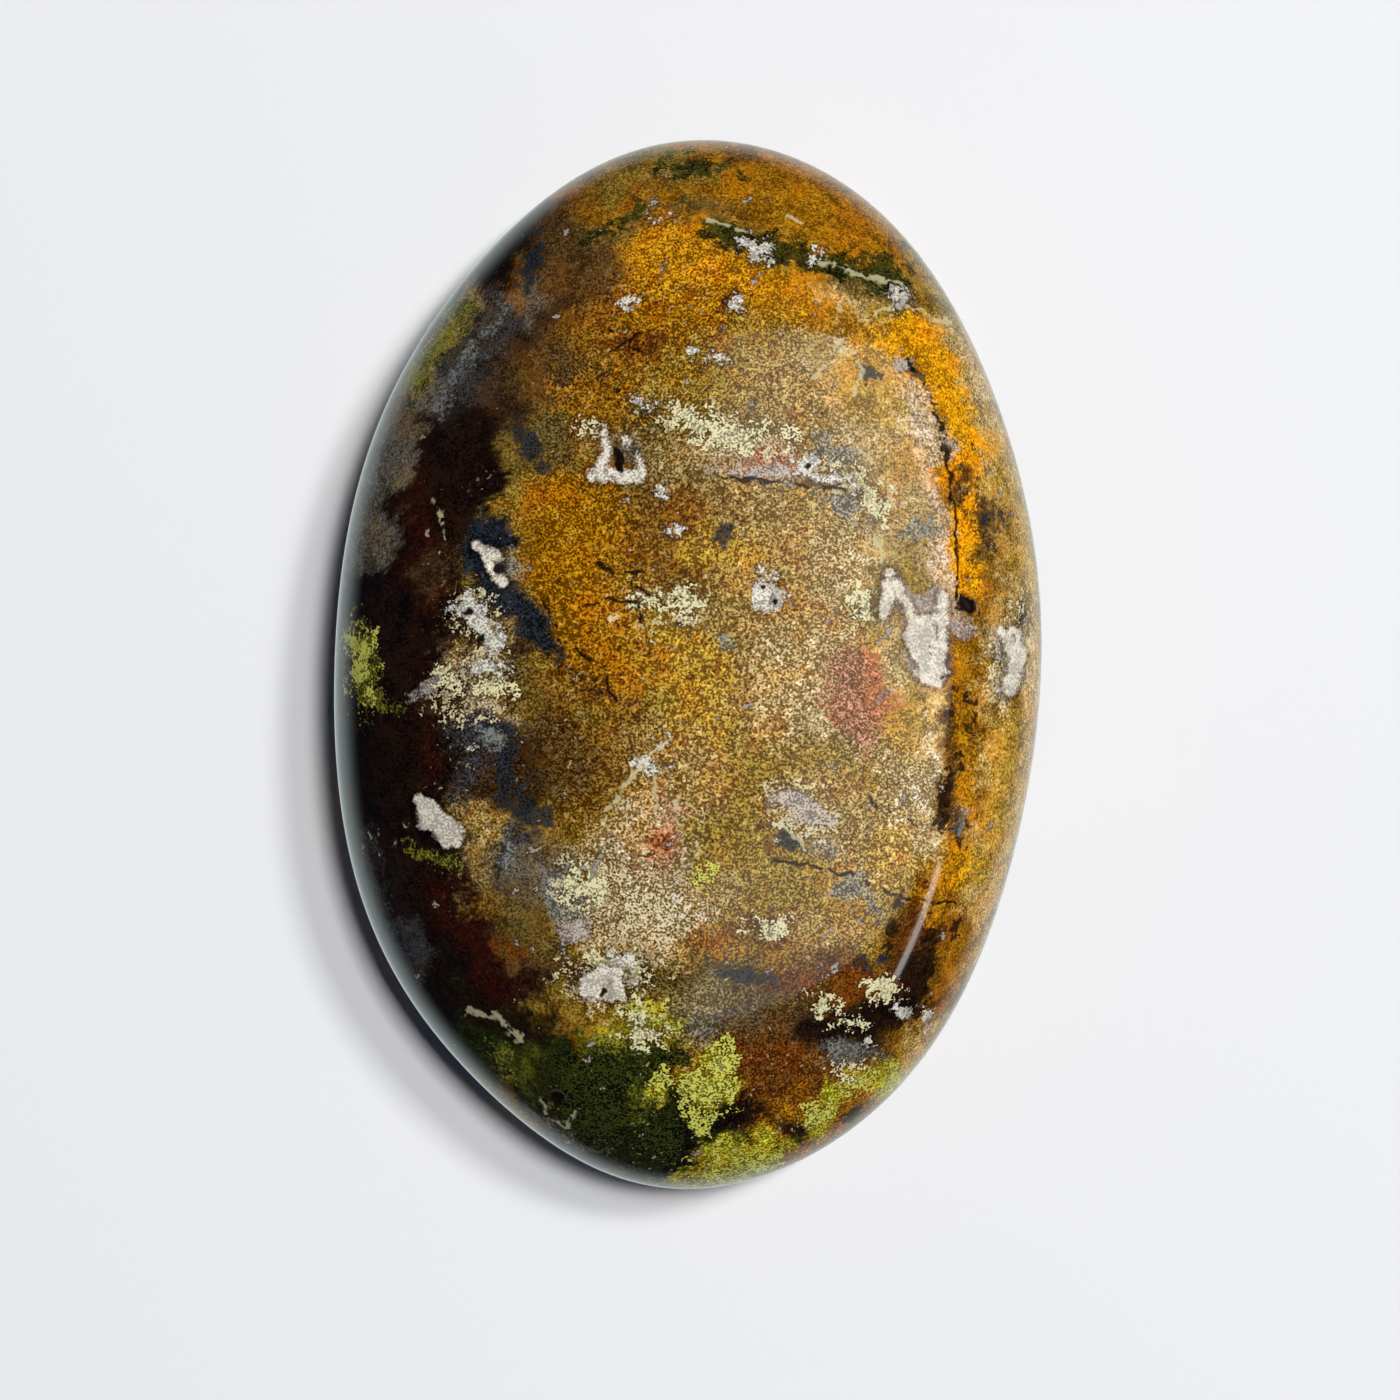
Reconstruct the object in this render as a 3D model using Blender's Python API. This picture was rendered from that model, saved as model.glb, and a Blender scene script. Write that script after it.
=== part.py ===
"""Oval trinket dish carved from one polished stone, lying turned over on its rim.

Metres, +Z up. The origin is on the table, under the middle of the dish. +Y runs along the
dish's length. The back, with the small flat foot that the dish stands on in use, faces up.
The hollow that holds the trinkets opens downwards.
"""

import math

import bmesh
import bpy
from mathutils import Matrix, Vector

# Driving dimensions
HALF_WIDTH = 0.0371  # middle to widest line, across the dish
HALF_LENGTH = 0.0548  # middle to widest line, along the dish
HEIGHT = 0.0275  # table to foot
WIDEST_LEVEL = 0.0090  # the outline is widest this far above the table
HOLLOW_DEPTH = 0.0125  # table to the deepest point of the hollow
LIP_RISE = 0.0012  # height of the rounded inner edge of the rim

# Sizes as shares of the outline: 0 is the middle of the dish and 1 its widest line
FOOT_SHARE = 0.30
RIM_OUTER_SHARE = 0.88
RIM_INNER_SHARE = 0.80
HOLLOW_SHARE = 0.76

# How square the two curved surfaces are: 2 is an ellipse
BACK_POWER = 2.2
HOLLOW_POWER = 2.3

# The stone isn't a true ellipse. Each lobe has its count round the outline, its height and
# the direction of one crest.
LOBES = (
    (3, 0.00050, math.radians(-52)),
    (4, 0.00011, math.radians(17)),
    (5, 0.00014, math.radians(1)),
    (6, 0.00013, math.radians(28)),
    (7, 0.00018, math.radians(5)),
)

# Open pits in the polished back: middle (x, y), half width, half length, turn and depth
PITS = {
    "crystal_pit": ((-0.0079, 0.0202), 0.0005, 0.0013, math.radians(10), 0.0016),
    "band_pit": ((-0.0196, 0.0090), 0.0006, 0.0008, math.radians(20), 0.0012),
    "shoulder_pit": ((0.0279, 0.0070), 0.0006, 0.0013, math.radians(35), 0.0012),
    "druse_pit": ((0.0075, 0.0072), 0.0014, 0.0013, 0.0, 0.0007),
    "cream_pit": ((-0.0076, -0.0333), 0.0009, 0.0016, math.radians(-12), 0.0009),
    "end_pit": ((-0.0122, -0.0450), 0.0009, 0.0011, math.radians(-30), 0.0012),
}

# Mesh fineness
POINTS_ROUND = 96
FOOT_ROWS = 2
BACK_ROWS = 14
SIDE_ROWS = 6
RIM_ROWS = 2
LIP_ROWS = 3
HOLLOW_ROWS = 11

STONE_COLOUR = (0.24, 0.13, 0.035, 1.0)
STONE_ROUGHNESS = 0.12


def clear_scene():
    for obj in list(bpy.data.objects):
        bpy.data.objects.remove(obj, do_unlink=True)


def outline_point(angle):
    """The widest line of the dish, at an ellipse's own angle from +X."""
    across = HALF_WIDTH * math.cos(angle)
    along = HALF_LENGTH * math.sin(angle)
    radius = math.hypot(across, along)
    lobes = sum(height * math.cos(count * (angle - crest)) for count, height, crest in LOBES)
    return Vector((across, along)) * (1 + lobes / radius)


def quarter(steps):
    """Angles from 0 to a right angle, the first left out."""
    return [math.pi / 2 * step / steps for step in range(1, steps + 1)]


def back_row(angle):
    """Share and height on the domed back, from the foot's edge at 0 to the widest line."""
    across = math.sin(angle) ** (2 / BACK_POWER)
    share = FOOT_SHARE + (1 - FOOT_SHARE) * across
    return share, WIDEST_LEVEL + (HEIGHT - WIDEST_LEVEL) * math.cos(angle)


def side_row(angle):
    """Share and height from the widest line down to the outer edge of the flat rim."""
    share = RIM_OUTER_SHARE + (1 - RIM_OUTER_SHARE) * math.cos(angle)
    return share, WIDEST_LEVEL * (1 - math.sin(angle))


def lip_row(angle):
    """Share and height round the inner edge of the rim, into the hollow."""
    share = RIM_INNER_SHARE - (RIM_INNER_SHARE - HOLLOW_SHARE) * math.sin(angle)
    return share, LIP_RISE * (1 - math.cos(angle))


def hollow_row(angle):
    """Share and height from the top of the lip to the deepest point of the hollow."""
    share = HOLLOW_SHARE * math.cos(angle) ** (2 / HOLLOW_POWER)
    return share, LIP_RISE + (HOLLOW_DEPTH - LIP_RISE) * math.sin(angle)


def profile():
    """Every row of the dish as share and height, from the foot round to the hollow."""
    foot = [(FOOT_SHARE * step / FOOT_ROWS, HEIGHT) for step in range(1, FOOT_ROWS + 1)]
    back = [back_row(angle) for angle in quarter(BACK_ROWS)]
    side = [side_row(angle) for angle in quarter(SIDE_ROWS)]
    rim_step = (RIM_OUTER_SHARE - RIM_INNER_SHARE) / RIM_ROWS
    rim = [(RIM_OUTER_SHARE - rim_step * step, 0.0) for step in range(1, RIM_ROWS + 1)]
    lip = [lip_row(angle) for angle in quarter(LIP_ROWS)]
    hollow = [hollow_row(angle) for angle in quarter(HOLLOW_ROWS)[:-1]]
    return foot + back + side + rim + lip + hollow


def back_height(place):
    """Height of the domed back over a place in plan."""
    angle = math.atan2(place.y / HALF_LENGTH, place.x / HALF_WIDTH)
    share = place.length / outline_point(angle).length
    across = max(0.0, (share - FOOT_SHARE) / (1 - FOOT_SHARE))
    rise = math.sqrt(max(0.0, 1 - across**BACK_POWER))
    return WIDEST_LEVEL + (HEIGHT - WIDEST_LEVEL) * rise


def make_object(name, mesh_builder):
    mesh = bpy.data.meshes.new(name)
    mesh_builder.to_mesh(mesh)
    mesh_builder.free()
    obj = bpy.data.objects.new(name, mesh)
    bpy.context.scene.collection.objects.link(obj)
    return obj


def make_stone_material():
    material = bpy.data.materials.new("polished_opal")
    material.use_nodes = True
    shader = material.node_tree.nodes["Principled BSDF"]
    shader.inputs["Base Color"].default_value = STONE_COLOUR
    shader.inputs["Roughness"].default_value = STONE_ROUGHNESS
    shader.inputs["Metallic"].default_value = 0.0
    return material


def make_body():
    """The whole stone as rings of points, closed by a fan at the foot and in the hollow."""
    builder = bmesh.new()
    outline = [
        outline_point(2 * math.pi * step / POINTS_ROUND) for step in range(POINTS_ROUND)
    ]
    rings = []
    for share, height in profile():
        ring = [builder.verts.new((*(point * share), height)) for point in outline]
        rings.append(ring)
    top = builder.verts.new((0.0, 0.0, HEIGHT))
    deepest = builder.verts.new((0.0, 0.0, HOLLOW_DEPTH))
    for here in range(POINTS_ROUND):
        after = (here + 1) % POINTS_ROUND
        builder.faces.new((top, rings[0][here], rings[0][after]))
        builder.faces.new((deepest, rings[-1][after], rings[-1][here]))
        for upper, lower in zip(rings, rings[1:]):
            builder.faces.new((upper[here], lower[here], lower[after], upper[after]))
    return make_object("trinket_dish", builder)


def cut_pit(dish, name, place, half_width, half_length, turn, depth):
    """Sinks one open pit into the back with an egg-shaped cutter."""
    builder = bmesh.new()
    bmesh.ops.create_icosphere(builder, subdivisions=2, radius=1.0)
    scale = Matrix.Diagonal((half_width, half_length, depth, 1.0))
    bmesh.ops.transform(builder, matrix=scale, verts=builder.verts)
    cutter = make_object(name, builder)
    middle = Vector(place)
    cutter.location = (*middle, back_height(middle))
    cutter.rotation_euler = (0.0, 0.0, turn)
    cutter.hide_render = True
    cutter.display_type = "WIRE"
    cut = dish.modifiers.new(name, "BOOLEAN")
    cut.operation = "DIFFERENCE"
    cut.solver = "EXACT"
    cut.object = cutter


def make_dish():
    dish = make_body()
    dish.data.materials.append(make_stone_material())
    dish.data.shade_smooth()
    dish.data.set_sharp_from_angle(angle=math.radians(50))
    for name, (place, half_width, half_length, turn, depth) in PITS.items():
        cut_pit(dish, name, place, half_width, half_length, turn, depth)


clear_scene()
make_dish()
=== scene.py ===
"""Looks of the oval trinket dish: one polished piece of brown and green opal, lying on its rim.

Metres, +Z up, in the same frame as the solid. The back of the dish faces up to the camera.
The stone is one mesh. Its pattern is drawn as named marks, one list for each mineral, and each
list becomes a distance that the mesh carries. The material breaks up the edges of the marks
with noise and gives each mineral its own colours.
"""

import math

import bpy
import numpy as np
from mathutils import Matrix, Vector


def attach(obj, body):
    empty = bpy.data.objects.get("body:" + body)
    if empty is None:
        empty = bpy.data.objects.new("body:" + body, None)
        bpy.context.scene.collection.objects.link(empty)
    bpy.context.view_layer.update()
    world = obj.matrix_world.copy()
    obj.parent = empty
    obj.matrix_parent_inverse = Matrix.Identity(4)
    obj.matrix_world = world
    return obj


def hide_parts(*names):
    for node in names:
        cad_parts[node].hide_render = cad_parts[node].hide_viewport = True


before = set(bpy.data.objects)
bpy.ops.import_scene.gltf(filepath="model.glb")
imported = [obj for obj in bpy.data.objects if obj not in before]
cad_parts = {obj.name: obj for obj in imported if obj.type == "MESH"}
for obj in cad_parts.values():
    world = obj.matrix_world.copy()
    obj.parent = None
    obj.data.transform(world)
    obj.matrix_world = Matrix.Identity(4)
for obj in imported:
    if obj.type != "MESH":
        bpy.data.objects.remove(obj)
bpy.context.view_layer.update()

bl_info = {
    "name": "Polished Opal Trinket Dish",
    "version": (1, 0, 0),
    "blender": (4, 5, 0),
    "location": "3D View > Sidebar > Opal Dish",
    "description": "Makes an oval dish of polished brown and green opal, and a plain studio",
    "category": "Add Mesh",
}

# The stone isn't a true ellipse. Each lobe has its count round the outline, its height and
# the direction of one crest.
LOBES = (
    (3, 0.00050, math.radians(-52)),
    (4, 0.00011, math.radians(17)),
    (5, 0.00014, math.radians(1)),
    (6, 0.00013, math.radians(28)),
    (7, 0.00018, math.radians(5)),
)

# Open pits in the polished back: middle (x, y), half width, half length, turn and depth
PITS = {
    "crystal_pit": ((-0.0079, 0.0202), 0.0005, 0.0013, math.radians(10), 0.0016),
    "band_pit": ((-0.0196, 0.0090), 0.0006, 0.0008, math.radians(20), 0.0012),
    "shoulder_pit": ((0.0279, 0.0070), 0.0006, 0.0013, math.radians(35), 0.0012),
    "druse_pit": ((0.0075, 0.0072), 0.0014, 0.0013, 0.0, 0.0007),
    "cream_pit": ((-0.0076, -0.0333), 0.0009, 0.0016, math.radians(-12), 0.0009),
    "end_pit": ((-0.0122, -0.0450), 0.0009, 0.0011, math.radians(-30), 0.0012),
}

# Mesh fineness
CELLS_ACROSS = 224
CELLS_ALONG = 320
FOOT_REACH = 0.27  # how far out in the net the flat foot ends
SIDE_ROWS = 9
LIP_ROWS = 4
HOLLOW_ROWS = 18
COARSER = 4  # points of the side for each point of the hollow

# The view from above that the marks are drawn in: a square of this many pixels
VIEW_PIXELS = 1400
CAMERA_PLACE = Vector((0.0012, -0.0036, 0.42))
CAMERA_TURN = math.radians(1.788)
CAMERA_LENS = 100.7
SENSOR_WIDTH = 36.0


def length_entry(label, description, metres):
    return bpy.props.FloatProperty(name=label, description=description, default=metres, unit="LENGTH")


def plain_entry(label, description, default):
    return bpy.props.FloatProperty(name=label, description=description, default=default)


class DishShape(bpy.types.PropertyGroup):
    half_width: length_entry("Half width", "Middle to widest line, across", 0.0371)
    half_length: length_entry("Half length", "Middle to widest line, along", 0.0548)
    height: length_entry("Height", "Table to foot", 0.0275)
    widest_level: length_entry("Widest level", "Table to widest line", 0.0090)
    hollow_depth: length_entry("Hollow depth", "Table to deepest point", 0.0125)
    lip_rise: length_entry("Lip rise", "Height of the rim's rounded inner edge", 0.0012)
    foot_share: plain_entry("Foot", "Flat foot as a share of the outline", 0.30)
    rim_outer_share: plain_entry("Rim outside", "Outer edge of the rim as a share of the outline", 0.88)
    rim_inner_share: plain_entry("Rim inside", "Inner edge of the rim as a share of the outline", 0.80)
    hollow_share: plain_entry("Hollow", "Top of the hollow as a share of the outline", 0.76)
    back_power: plain_entry("Back squareness", "2 is an ellipse, and more is fuller", 2.2)
    hollow_power: plain_entry("Hollow squareness", "2 is an ellipse, and more is fuller", 2.3)


def palette_entry(label, red, green, blue):
    return bpy.props.FloatVectorProperty(
        name=label,
        description="Colour of the " + label.lower(),
        default=(red, green, blue),
        subtype="COLOR",
        min=0,
        max=1,
    )


class StoneColours(bpy.types.PropertyGroup):
    ochre: palette_entry("Ochre", 0.30, 0.125, 0.002)
    cinnamon: palette_entry("Brown ochre", 0.20, 0.092, 0.007)
    vivid: palette_entry("Orange ochre", 0.44, 0.19, 0.003)
    orange: palette_entry("Orange", 0.62, 0.275, 0.002)
    gold: palette_entry("Gold ochre", 0.42, 0.24, 0.018)
    olive: palette_entry("Olive ochre", 0.27, 0.17, 0.018)
    tan: palette_entry("Tan", 0.36, 0.225, 0.055)
    sand: palette_entry("Sand", 0.45, 0.31, 0.11)
    beige: palette_entry("Beige", 0.42, 0.31, 0.15)
    drab: palette_entry("Olive brown", 0.12, 0.08, 0.016)
    brown: palette_entry("Brown", 0.095, 0.048, 0.010)
    umber: palette_entry("Umber", 0.045, 0.022, 0.007)
    soot: palette_entry("Black brown", 0.008, 0.003, 0.001)
    wine: palette_entry("Dark rust", 0.024, 0.004, 0.001)
    rust: palette_entry("Rust", 0.13, 0.040, 0.003)
    grey: palette_entry("Warm grey", 0.12, 0.10, 0.065)
    plum: palette_entry("Plum grey", 0.040, 0.035, 0.032)
    forest: palette_entry("Dark green", 0.016, 0.020, 0.002)
    moss: palette_entry("Moss green", 0.15, 0.14, 0.014)
    leaf: palette_entry("Leaf green", 0.070, 0.078, 0.005)
    acid: palette_entry("Yellow green", 0.45, 0.41, 0.02)
    lime: palette_entry("Lime", 0.42, 0.41, 0.07)
    cream: palette_entry("Cream", 0.66, 0.60, 0.34)
    white: palette_entry("Milky white", 0.72, 0.68, 0.58)
    honey: palette_entry("Honey", 0.47, 0.29, 0.06)
    milk: palette_entry("Chalcedony", 0.72, 0.65, 0.53)
    frost: palette_entry("Frost", 0.60, 0.51, 0.30)
    # Painted reflection: the pink haze of the softbox reflection near its right edge
    painted_reflection_pink: palette_entry("Pinkish tan", 0.52, 0.37, 0.20)
    # Also used for painted reflection: the pale band just inside the edge of the softbox reflection
    straw: palette_entry("Straw", 0.60, 0.42, 0.12)
    khaki: palette_entry("Khaki", 0.27, 0.185, 0.055)
    bone: palette_entry("Bone", 0.60, 0.48, 0.26)
    smoke: palette_entry("Blue grey", 0.19, 0.20, 0.18)
    lilac: palette_entry("Lilac grey", 0.46, 0.39, 0.34)
    navy: palette_entry("Blue black", 0.010, 0.013, 0.017)
    salmon: palette_entry("Salmon", 0.37, 0.145, 0.060)


def blot(x, y, across, along, turn=0):
    """An oval mark: its middle and half sizes in pixels, and its clockwise turn in degrees."""
    return {"points": ((x, y),), "across": across, "along": along, "turn": math.radians(turn)}


def band(width, *points):
    """A mark of even width along a line of points, in pixels."""
    return {"points": points, "across": width / 2}


# The ground of the stone, from the first coat to the last: colour, softness in pixels, mark. The bands
# along the edge of the softbox reflection are partly painted reflection
GROUND = {
    "field": ("olive", 60, blot(700, 640, 260, 420, -4)),
    "top_cap": ("ochre", 40, band(110, (610, 195), (700, 180), (790, 185), (880, 235), (930, 290))),
    "top_cap_brown": ("cinnamon", 26, blot(622, 180, 46, 26)),
    "top_cap_olive": ("drab", 24, band(26, (600, 232), (650, 222), (705, 214), (745, 222))),
    "top_cap_black": ("umber", 18, band(24, (655, 162), (700, 168), (745, 164))),
    "upper_brown": ("cinnamon", 40, blot(600, 320, 90, 80, -20)),
    "upper_ochre": ("ochre", 40, blot(690, 320, 90, 44)),
    "vivid_field": ("vivid", 26, blot(672, 262, 58, 36)),
    "vivid_band": ("vivid", 30, band(56, (730, 285), (790, 295), (840, 325))),
    "vivid_shade": ("cinnamon", 14, blot(706, 286, 13, 11)),
    "upper_gold": ("olive", 40, blot(750, 375, 90, 50)),
    "upper_tan": ("tan", 40, blot(800, 395, 60, 40)),
    "pale_shoulder": ("sand", 36, band(86, (842, 325), (860, 370), (880, 440))),
    "brown_left_of_star": ("cinnamon", 36, blot(590, 405, 60, 50, -10)),
    "dark_shoulder": ("soot", 26, band(76, (432, 350), (472, 270), (538, 200))),
    "shoulder_brown": ("brown", 30, blot(575, 262, 36, 52, -30)),
    "shoulder_umber": ("umber", 24, blot(528, 330, 26, 44, 20)),
    "grey_shoulder": ("grey", 22, band(26, (540, 288), (520, 318), (510, 340))),
    "upper_left_grey": ("plum", 26, band(66, (486, 325), (462, 380), (432, 440))),
    "upper_left_brown": ("brown", 30, blot(566, 380, 34, 34, -20)),
    "upper_left_umber": ("umber", 26, blot(500, 410, 30, 54, 15)),
    "left_olive_brown": ("drab", 26, blot(546, 446, 32, 40, -20)),
    "middle_brown": ("khaki", 36, blot(672, 462, 74, 48, 10)),
    "middle_drab": ("drab", 26, blot(640, 505, 44, 20, 10)),
    "pale_band": ("beige", 20, blot(752, 455, 50, 20, 6)),
    "under_band": ("cinnamon", 26, blot(736, 504, 40, 16, 6)),
    "ochre_patch": ("ochre", 24, blot(578, 548, 64, 84, -4)),
    "ochre_patch_low": ("ochre", 24, blot(612, 662, 56, 46, 30)),
    "ochre_light": ("gold", 24, blot(622, 590, 24, 60, -8)),
    "ochre_end": ("tan", 24, blot(646, 706, 30, 18, 20)),
    "middle_cinnamon": ("cinnamon", 40, blot(672, 545, 60, 60)),
    "middle_ochre": ("gold", 44, blot(690, 680, 60, 80, -20)),
    "middle_brown_ochre": ("olive", 36, blot(640, 720, 36, 50, 20)),
    "tan_cluster": ("tan", 26, blot(688, 608, 36, 22)),
    "tan_middle": ("tan", 44, band(100, (760, 520), (790, 600), (780, 700))),
    "sand_middle": ("sand", 44, blot(815, 690, 66, 70)),
    "sand_right": ("sand", 36, blot(905, 450, 44, 80, -10)),
    "sand_low_right": ("sand", 36, blot(860, 560, 40, 60)),
    # Pale band along the inner side of the softbox reflection's edge: partly the stone's paler colour,
    # partly painted reflection
    "pale_and_painted_reflection_band_high": ("straw", 16, band(30, (876, 348), (902, 385), (918, 416))),
    "outlined_oval": ("tan", 16, blot(906, 478, 24, 26, -20)),
    # Painted reflection: pink haze along the right edge of the softbox reflection
    "painted_pink_reflection_band": ("painted_reflection_pink", 12, band(32, (906, 376), (922, 410), (932, 450), (938, 500), (942, 565))),
    "band_brown": ("khaki", 16, blot(852, 528, 22, 10)),
    # Painted reflection: pink haze at the edge of the softbox reflection
    "painted_pink_reflection_above_white": ("painted_reflection_pink", 14, blot(942, 600, 14, 22)),
    "beside_white": ("straw", 12, blot(893, 646, 15, 26, 10)),
    "gold_block": ("straw", 16, blot(892, 646, 17, 28)),
    "star_shade": ("drab", 18, blot(652, 430, 20, 18)),
    # Pale band along the inner side of the softbox reflection's edge: partly the stone's paler colour,
    # partly painted reflection
    "pale_and_painted_reflection_band_low": ("straw", 16, band(24, (936, 690), (932, 745), (928, 790), (918, 840), (904, 885))),
    "brown_right": ("khaki", 16, blot(916, 530, 14, 14)),
    "olive_low_right": ("olive", 30, blot(810, 770, 70, 32, 10)),
    "tan_low_right": ("tan", 36, blot(840, 840, 60, 60)),
    "gold_strip": ("sand", 30, band(50, (908, 640), (912, 720), (915, 790), (895, 870))),
    "brown_low_middle": ("cinnamon", 36, blot(606, 760, 36, 66, 14)),
    "olive_dark": ("brown", 34, blot(558, 752, 40, 66, -14)),
    "tan_low_middle": ("tan", 36, blot(674, 776, 56, 46)),
    "reddish": ("beige", 24, blot(654, 822, 40, 30)),
    "olive_gold_low": ("olive", 40, blot(760, 875, 80, 60)),
    "beige_field": ("beige", 40, blot(640, 895, 76, 62)),
    "brown_band_low": ("cinnamon", 26, band(40, (710, 945), (760, 925), (800, 930))),
    "tan_band_low": ("tan", 26, blot(826, 936, 36, 22, 10)),
    "drab_low": ("drab", 30, band(60, (650, 990), (720, 990), (790, 1000))),
    "cluster_ground": ("umber", 22, blot(484, 658, 50, 56, 16)),
    "cluster_tan": ("khaki", 20, band(36, (484, 640), (490, 668), (498, 690))),
    "cluster_low": ("bone", 20, band(28, (448, 674), (464, 702), (498, 710))),
    "cluster_gap": ("umber", 14, blot(464, 640, 12, 14, 30)),
    "left_grey": ("plum", 26, blot(480, 752, 42, 54)),
    "left_umber": ("umber", 24, blot(512, 776, 30, 36)),
    "lower_left_tan": ("khaki", 26, blot(468, 852, 50, 40, 20)),
    "lower_left_beige": ("tan", 22, blot(462, 828, 26, 24, 20)),
    "lower_left_plum": ("plum", 20, blot(508, 862, 17, 44, 4)),
    "lower_left_grey": ("grey", 26, blot(546, 880, 34, 50)),
    "lower_left_drab": ("drab", 26, blot(520, 935, 44, 40, 20)),
    "lower_left_ochre": ("brown", 26, blot(552, 985, 44, 36, 20)),
    "ring": (
        "honey",
        24,
        band(70, (968, 330), (992, 400), (1010, 500), (1018, 620), (1014, 740), (994, 860), (962, 960)),
    ),
    "ring_sand": ("sand", 18, band(30, (950, 330), (980, 385), (996, 440))),
    "ring_tan": ("tan", 20, band(40, (1004, 520), (1010, 620), (1004, 700))),
    "ring_pale_low": ("sand", 18, band(20, (1008, 800), (990, 880), (968, 930))),
    "ring_orange": ("orange", 16, band(32, (900, 334), (922, 354), (942, 395), (956, 435), (966, 470))),
    "ring_orange_low": ("orange", 12, band(18, (962, 530), (965, 560), (965, 592))),
    "ring_beside": ("cinnamon", 12, band(14, (982, 552), (984, 580), (984, 610))),
    "ring_brown_high": ("brown", 12, band(17, (962, 452), (973, 476), (980, 510), (980, 545))),
    "ring_white": ("bone", 14, blot(1008, 668, 12, 36, 8)),
    "shoulder_olive": ("olive", 16, blot(884, 306, 26, 13, 20)),
    "ring_ochre": ("ochre", 14, band(32, (961, 640), (962, 720), (958, 800), (948, 880), (930, 940))),
    "ring_brown": ("brown", 14, band(20, (954, 690), (956, 750), (950, 810))),
    "ring_olive": ("olive", 18, band(26, (918, 262), (950, 310), (972, 352))),
    "shoulder_dark": ("drab", 20, band(30, (840, 276), (880, 284), (905, 296))),
    "ring_dark_low": ("rust", 20, band(30, (938, 892), (916, 930), (898, 958))),
    # Pale band at the low end of the softbox reflection's edge: partly the stone's paler colour, partly
    # painted reflection
    "pale_and_painted_reflection_band_end": ("straw", 14, band(20, (922, 850), (908, 885))),
    "rust_low": ("rust", 26, blot(815, 978, 60, 26)),
    "black_low_right": ("soot", 24, band(52, (860, 1024), (905, 1000), (930, 955))),
    "ring_low": ("ochre", 22, band(36, (966, 935), (940, 975))),
    "brown_low": ("brown", 28, blot(772, 1032, 44, 30)),
    "grey_low": ("grey", 28, blot(704, 1024, 42, 24)),
    "khaki_low": ("khaki", 22, blot(702, 1002, 30, 16)),
    "umber_low_right": ("umber", 24, blot(836, 1034, 44, 24)),
    "far_left": (
        "soot",
        22,
        band(90, (404, 420), (376, 540), (370, 700), (382, 840), (410, 940), (462, 1040)),
    ),
    "inner_left": (
        "soot",
        24,
        band(86, (462, 470), (430, 530), (412, 640), (412, 760), (420, 880), (456, 960), (508, 1016)),
    ),
    "dark_middle_left": ("soot", 22, blot(478, 448, 26, 40, 10)),
    "below_dark": ("olive", 14, blot(502, 496, 16, 17)),
    "shoulder_dark_left": ("umber", 18, blot(556, 314, 18, 22)),
    "left_brown_spot": ("brown", 14, blot(436, 706, 14, 12)),
    "beside_halo": ("umber", 20, blot(466, 556, 14, 36)),
    "left_rust": ("wine", 22, blot(424, 540, 28, 66, 4)),
    "left_tan": ("umber", 16, blot(430, 568, 16, 18)),
    "left_rust_low": ("wine", 20, blot(424, 740, 16, 56)),
    "lower_left_rust": ("wine", 24, band(44, (434, 880), (466, 940), (520, 1000))),
    "left_edge": ("grey", 16, band(44, (424, 385), (400, 430), (378, 490), (366, 550))),
    "left_low_edge": ("plum", 16, band(34, (378, 850), (392, 905), (414, 962))),
    "navy_ground": ("navy", 14, band(28, (494, 526), (482, 560), (504, 596), (530, 622), (556, 652))),
    "navy_end": ("umber", 12, band(10, (552, 650), (572, 674), (588, 690))),
    "olive_chip": ("drab", 12, blot(524, 680, 15, 18)),
    "low_olive_gold": ("olive", 20, blot(566, 1004, 24, 16, 20)),
    "bottom_left": ("forest", 26, band(90, (490, 1040), (540, 1080), (600, 1130))),
    "bottom_green_high": ("forest", 20, blot(596, 1046, 36, 18, 5)),
    "bottom_green": ("forest", 26, blot(620, 1100, 76, 66)),
    "bottom_green_right": ("forest", 22, blot(690, 1130, 60, 40)),
    "bottom_green_low": ("forest", 20, band(56, (560, 1130), (630, 1160), (700, 1176))),
    "bottom_leaf_left": ("leaf", 12, blot(512, 1064, 17, 26, -38)),
    "bottom_leaf_high": ("leaf", 16, band(26, (580, 1034), (612, 1038), (644, 1050))),
    "bottom_leaf_middle": ("leaf", 16, blot(634, 1098, 14, 26, -10)),
    "lime_ground": ("acid", 20, blot(644, 1024, 30, 16, 20)),
    "acid_left": ("acid", 12, blot(662, 1082, 12, 12, -20)),
    "acid_middle": ("acid", 14, blot(716, 1076, 22, 26)),
    "bottom_rust": ("rust", 20, blot(778, 1064, 36, 24)),
    "bottom_rust_right": ("rust", 20, blot(836, 1074, 26, 18)),
    "bottom_rust_dark": ("rust", 14, blot(764, 1094, 24, 12)),
    "lime_right": ("honey", 18, band(26, (868, 1094), (896, 1070), (932, 1042))),
    "acid_right": ("acid", 12, band(26, (802, 1136), (824, 1110), (850, 1088), (880, 1070))),
    "bottom_dark": ("soot", 14, blot(738, 1118, 34, 16)),
    "acid_low": ("acid", 14, band(26, (704, 1162), (740, 1158), (782, 1150))),
    "acid_rim": ("acid", 10, band(10, (672, 1182), (720, 1184), (760, 1176))),
    "bottom_dark_left": ("soot", 14, blot(678, 1140, 14, 22, 10)),
    "rim_low_left": ("grey", 12, band(14, (522, 1108), (552, 1132), (590, 1154))),
    "bottom_dark_right": ("soot", 12, blot(792, 1132, 12, 10)),
    "left_moss": ("khaki", 16, band(30, (462, 304), (438, 338), (414, 374))),
    "top_olive": ("olive", 26, band(20, (606, 188), (650, 166), (716, 170))),
    "shoulder_left": ("umber", 16, blot(526, 344, 20, 18, 0)),
    # Painted reflection: a bright line along the edge of the softbox reflection
    "painted_reflection_white_line": ("bone", 8, band(9, (932, 684), (929, 740), (925, 800), (920, 840))),
    "ring_brown_low": ("cinnamon", 14, band(18, (964, 730), (972, 785), (972, 840))),
}

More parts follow.
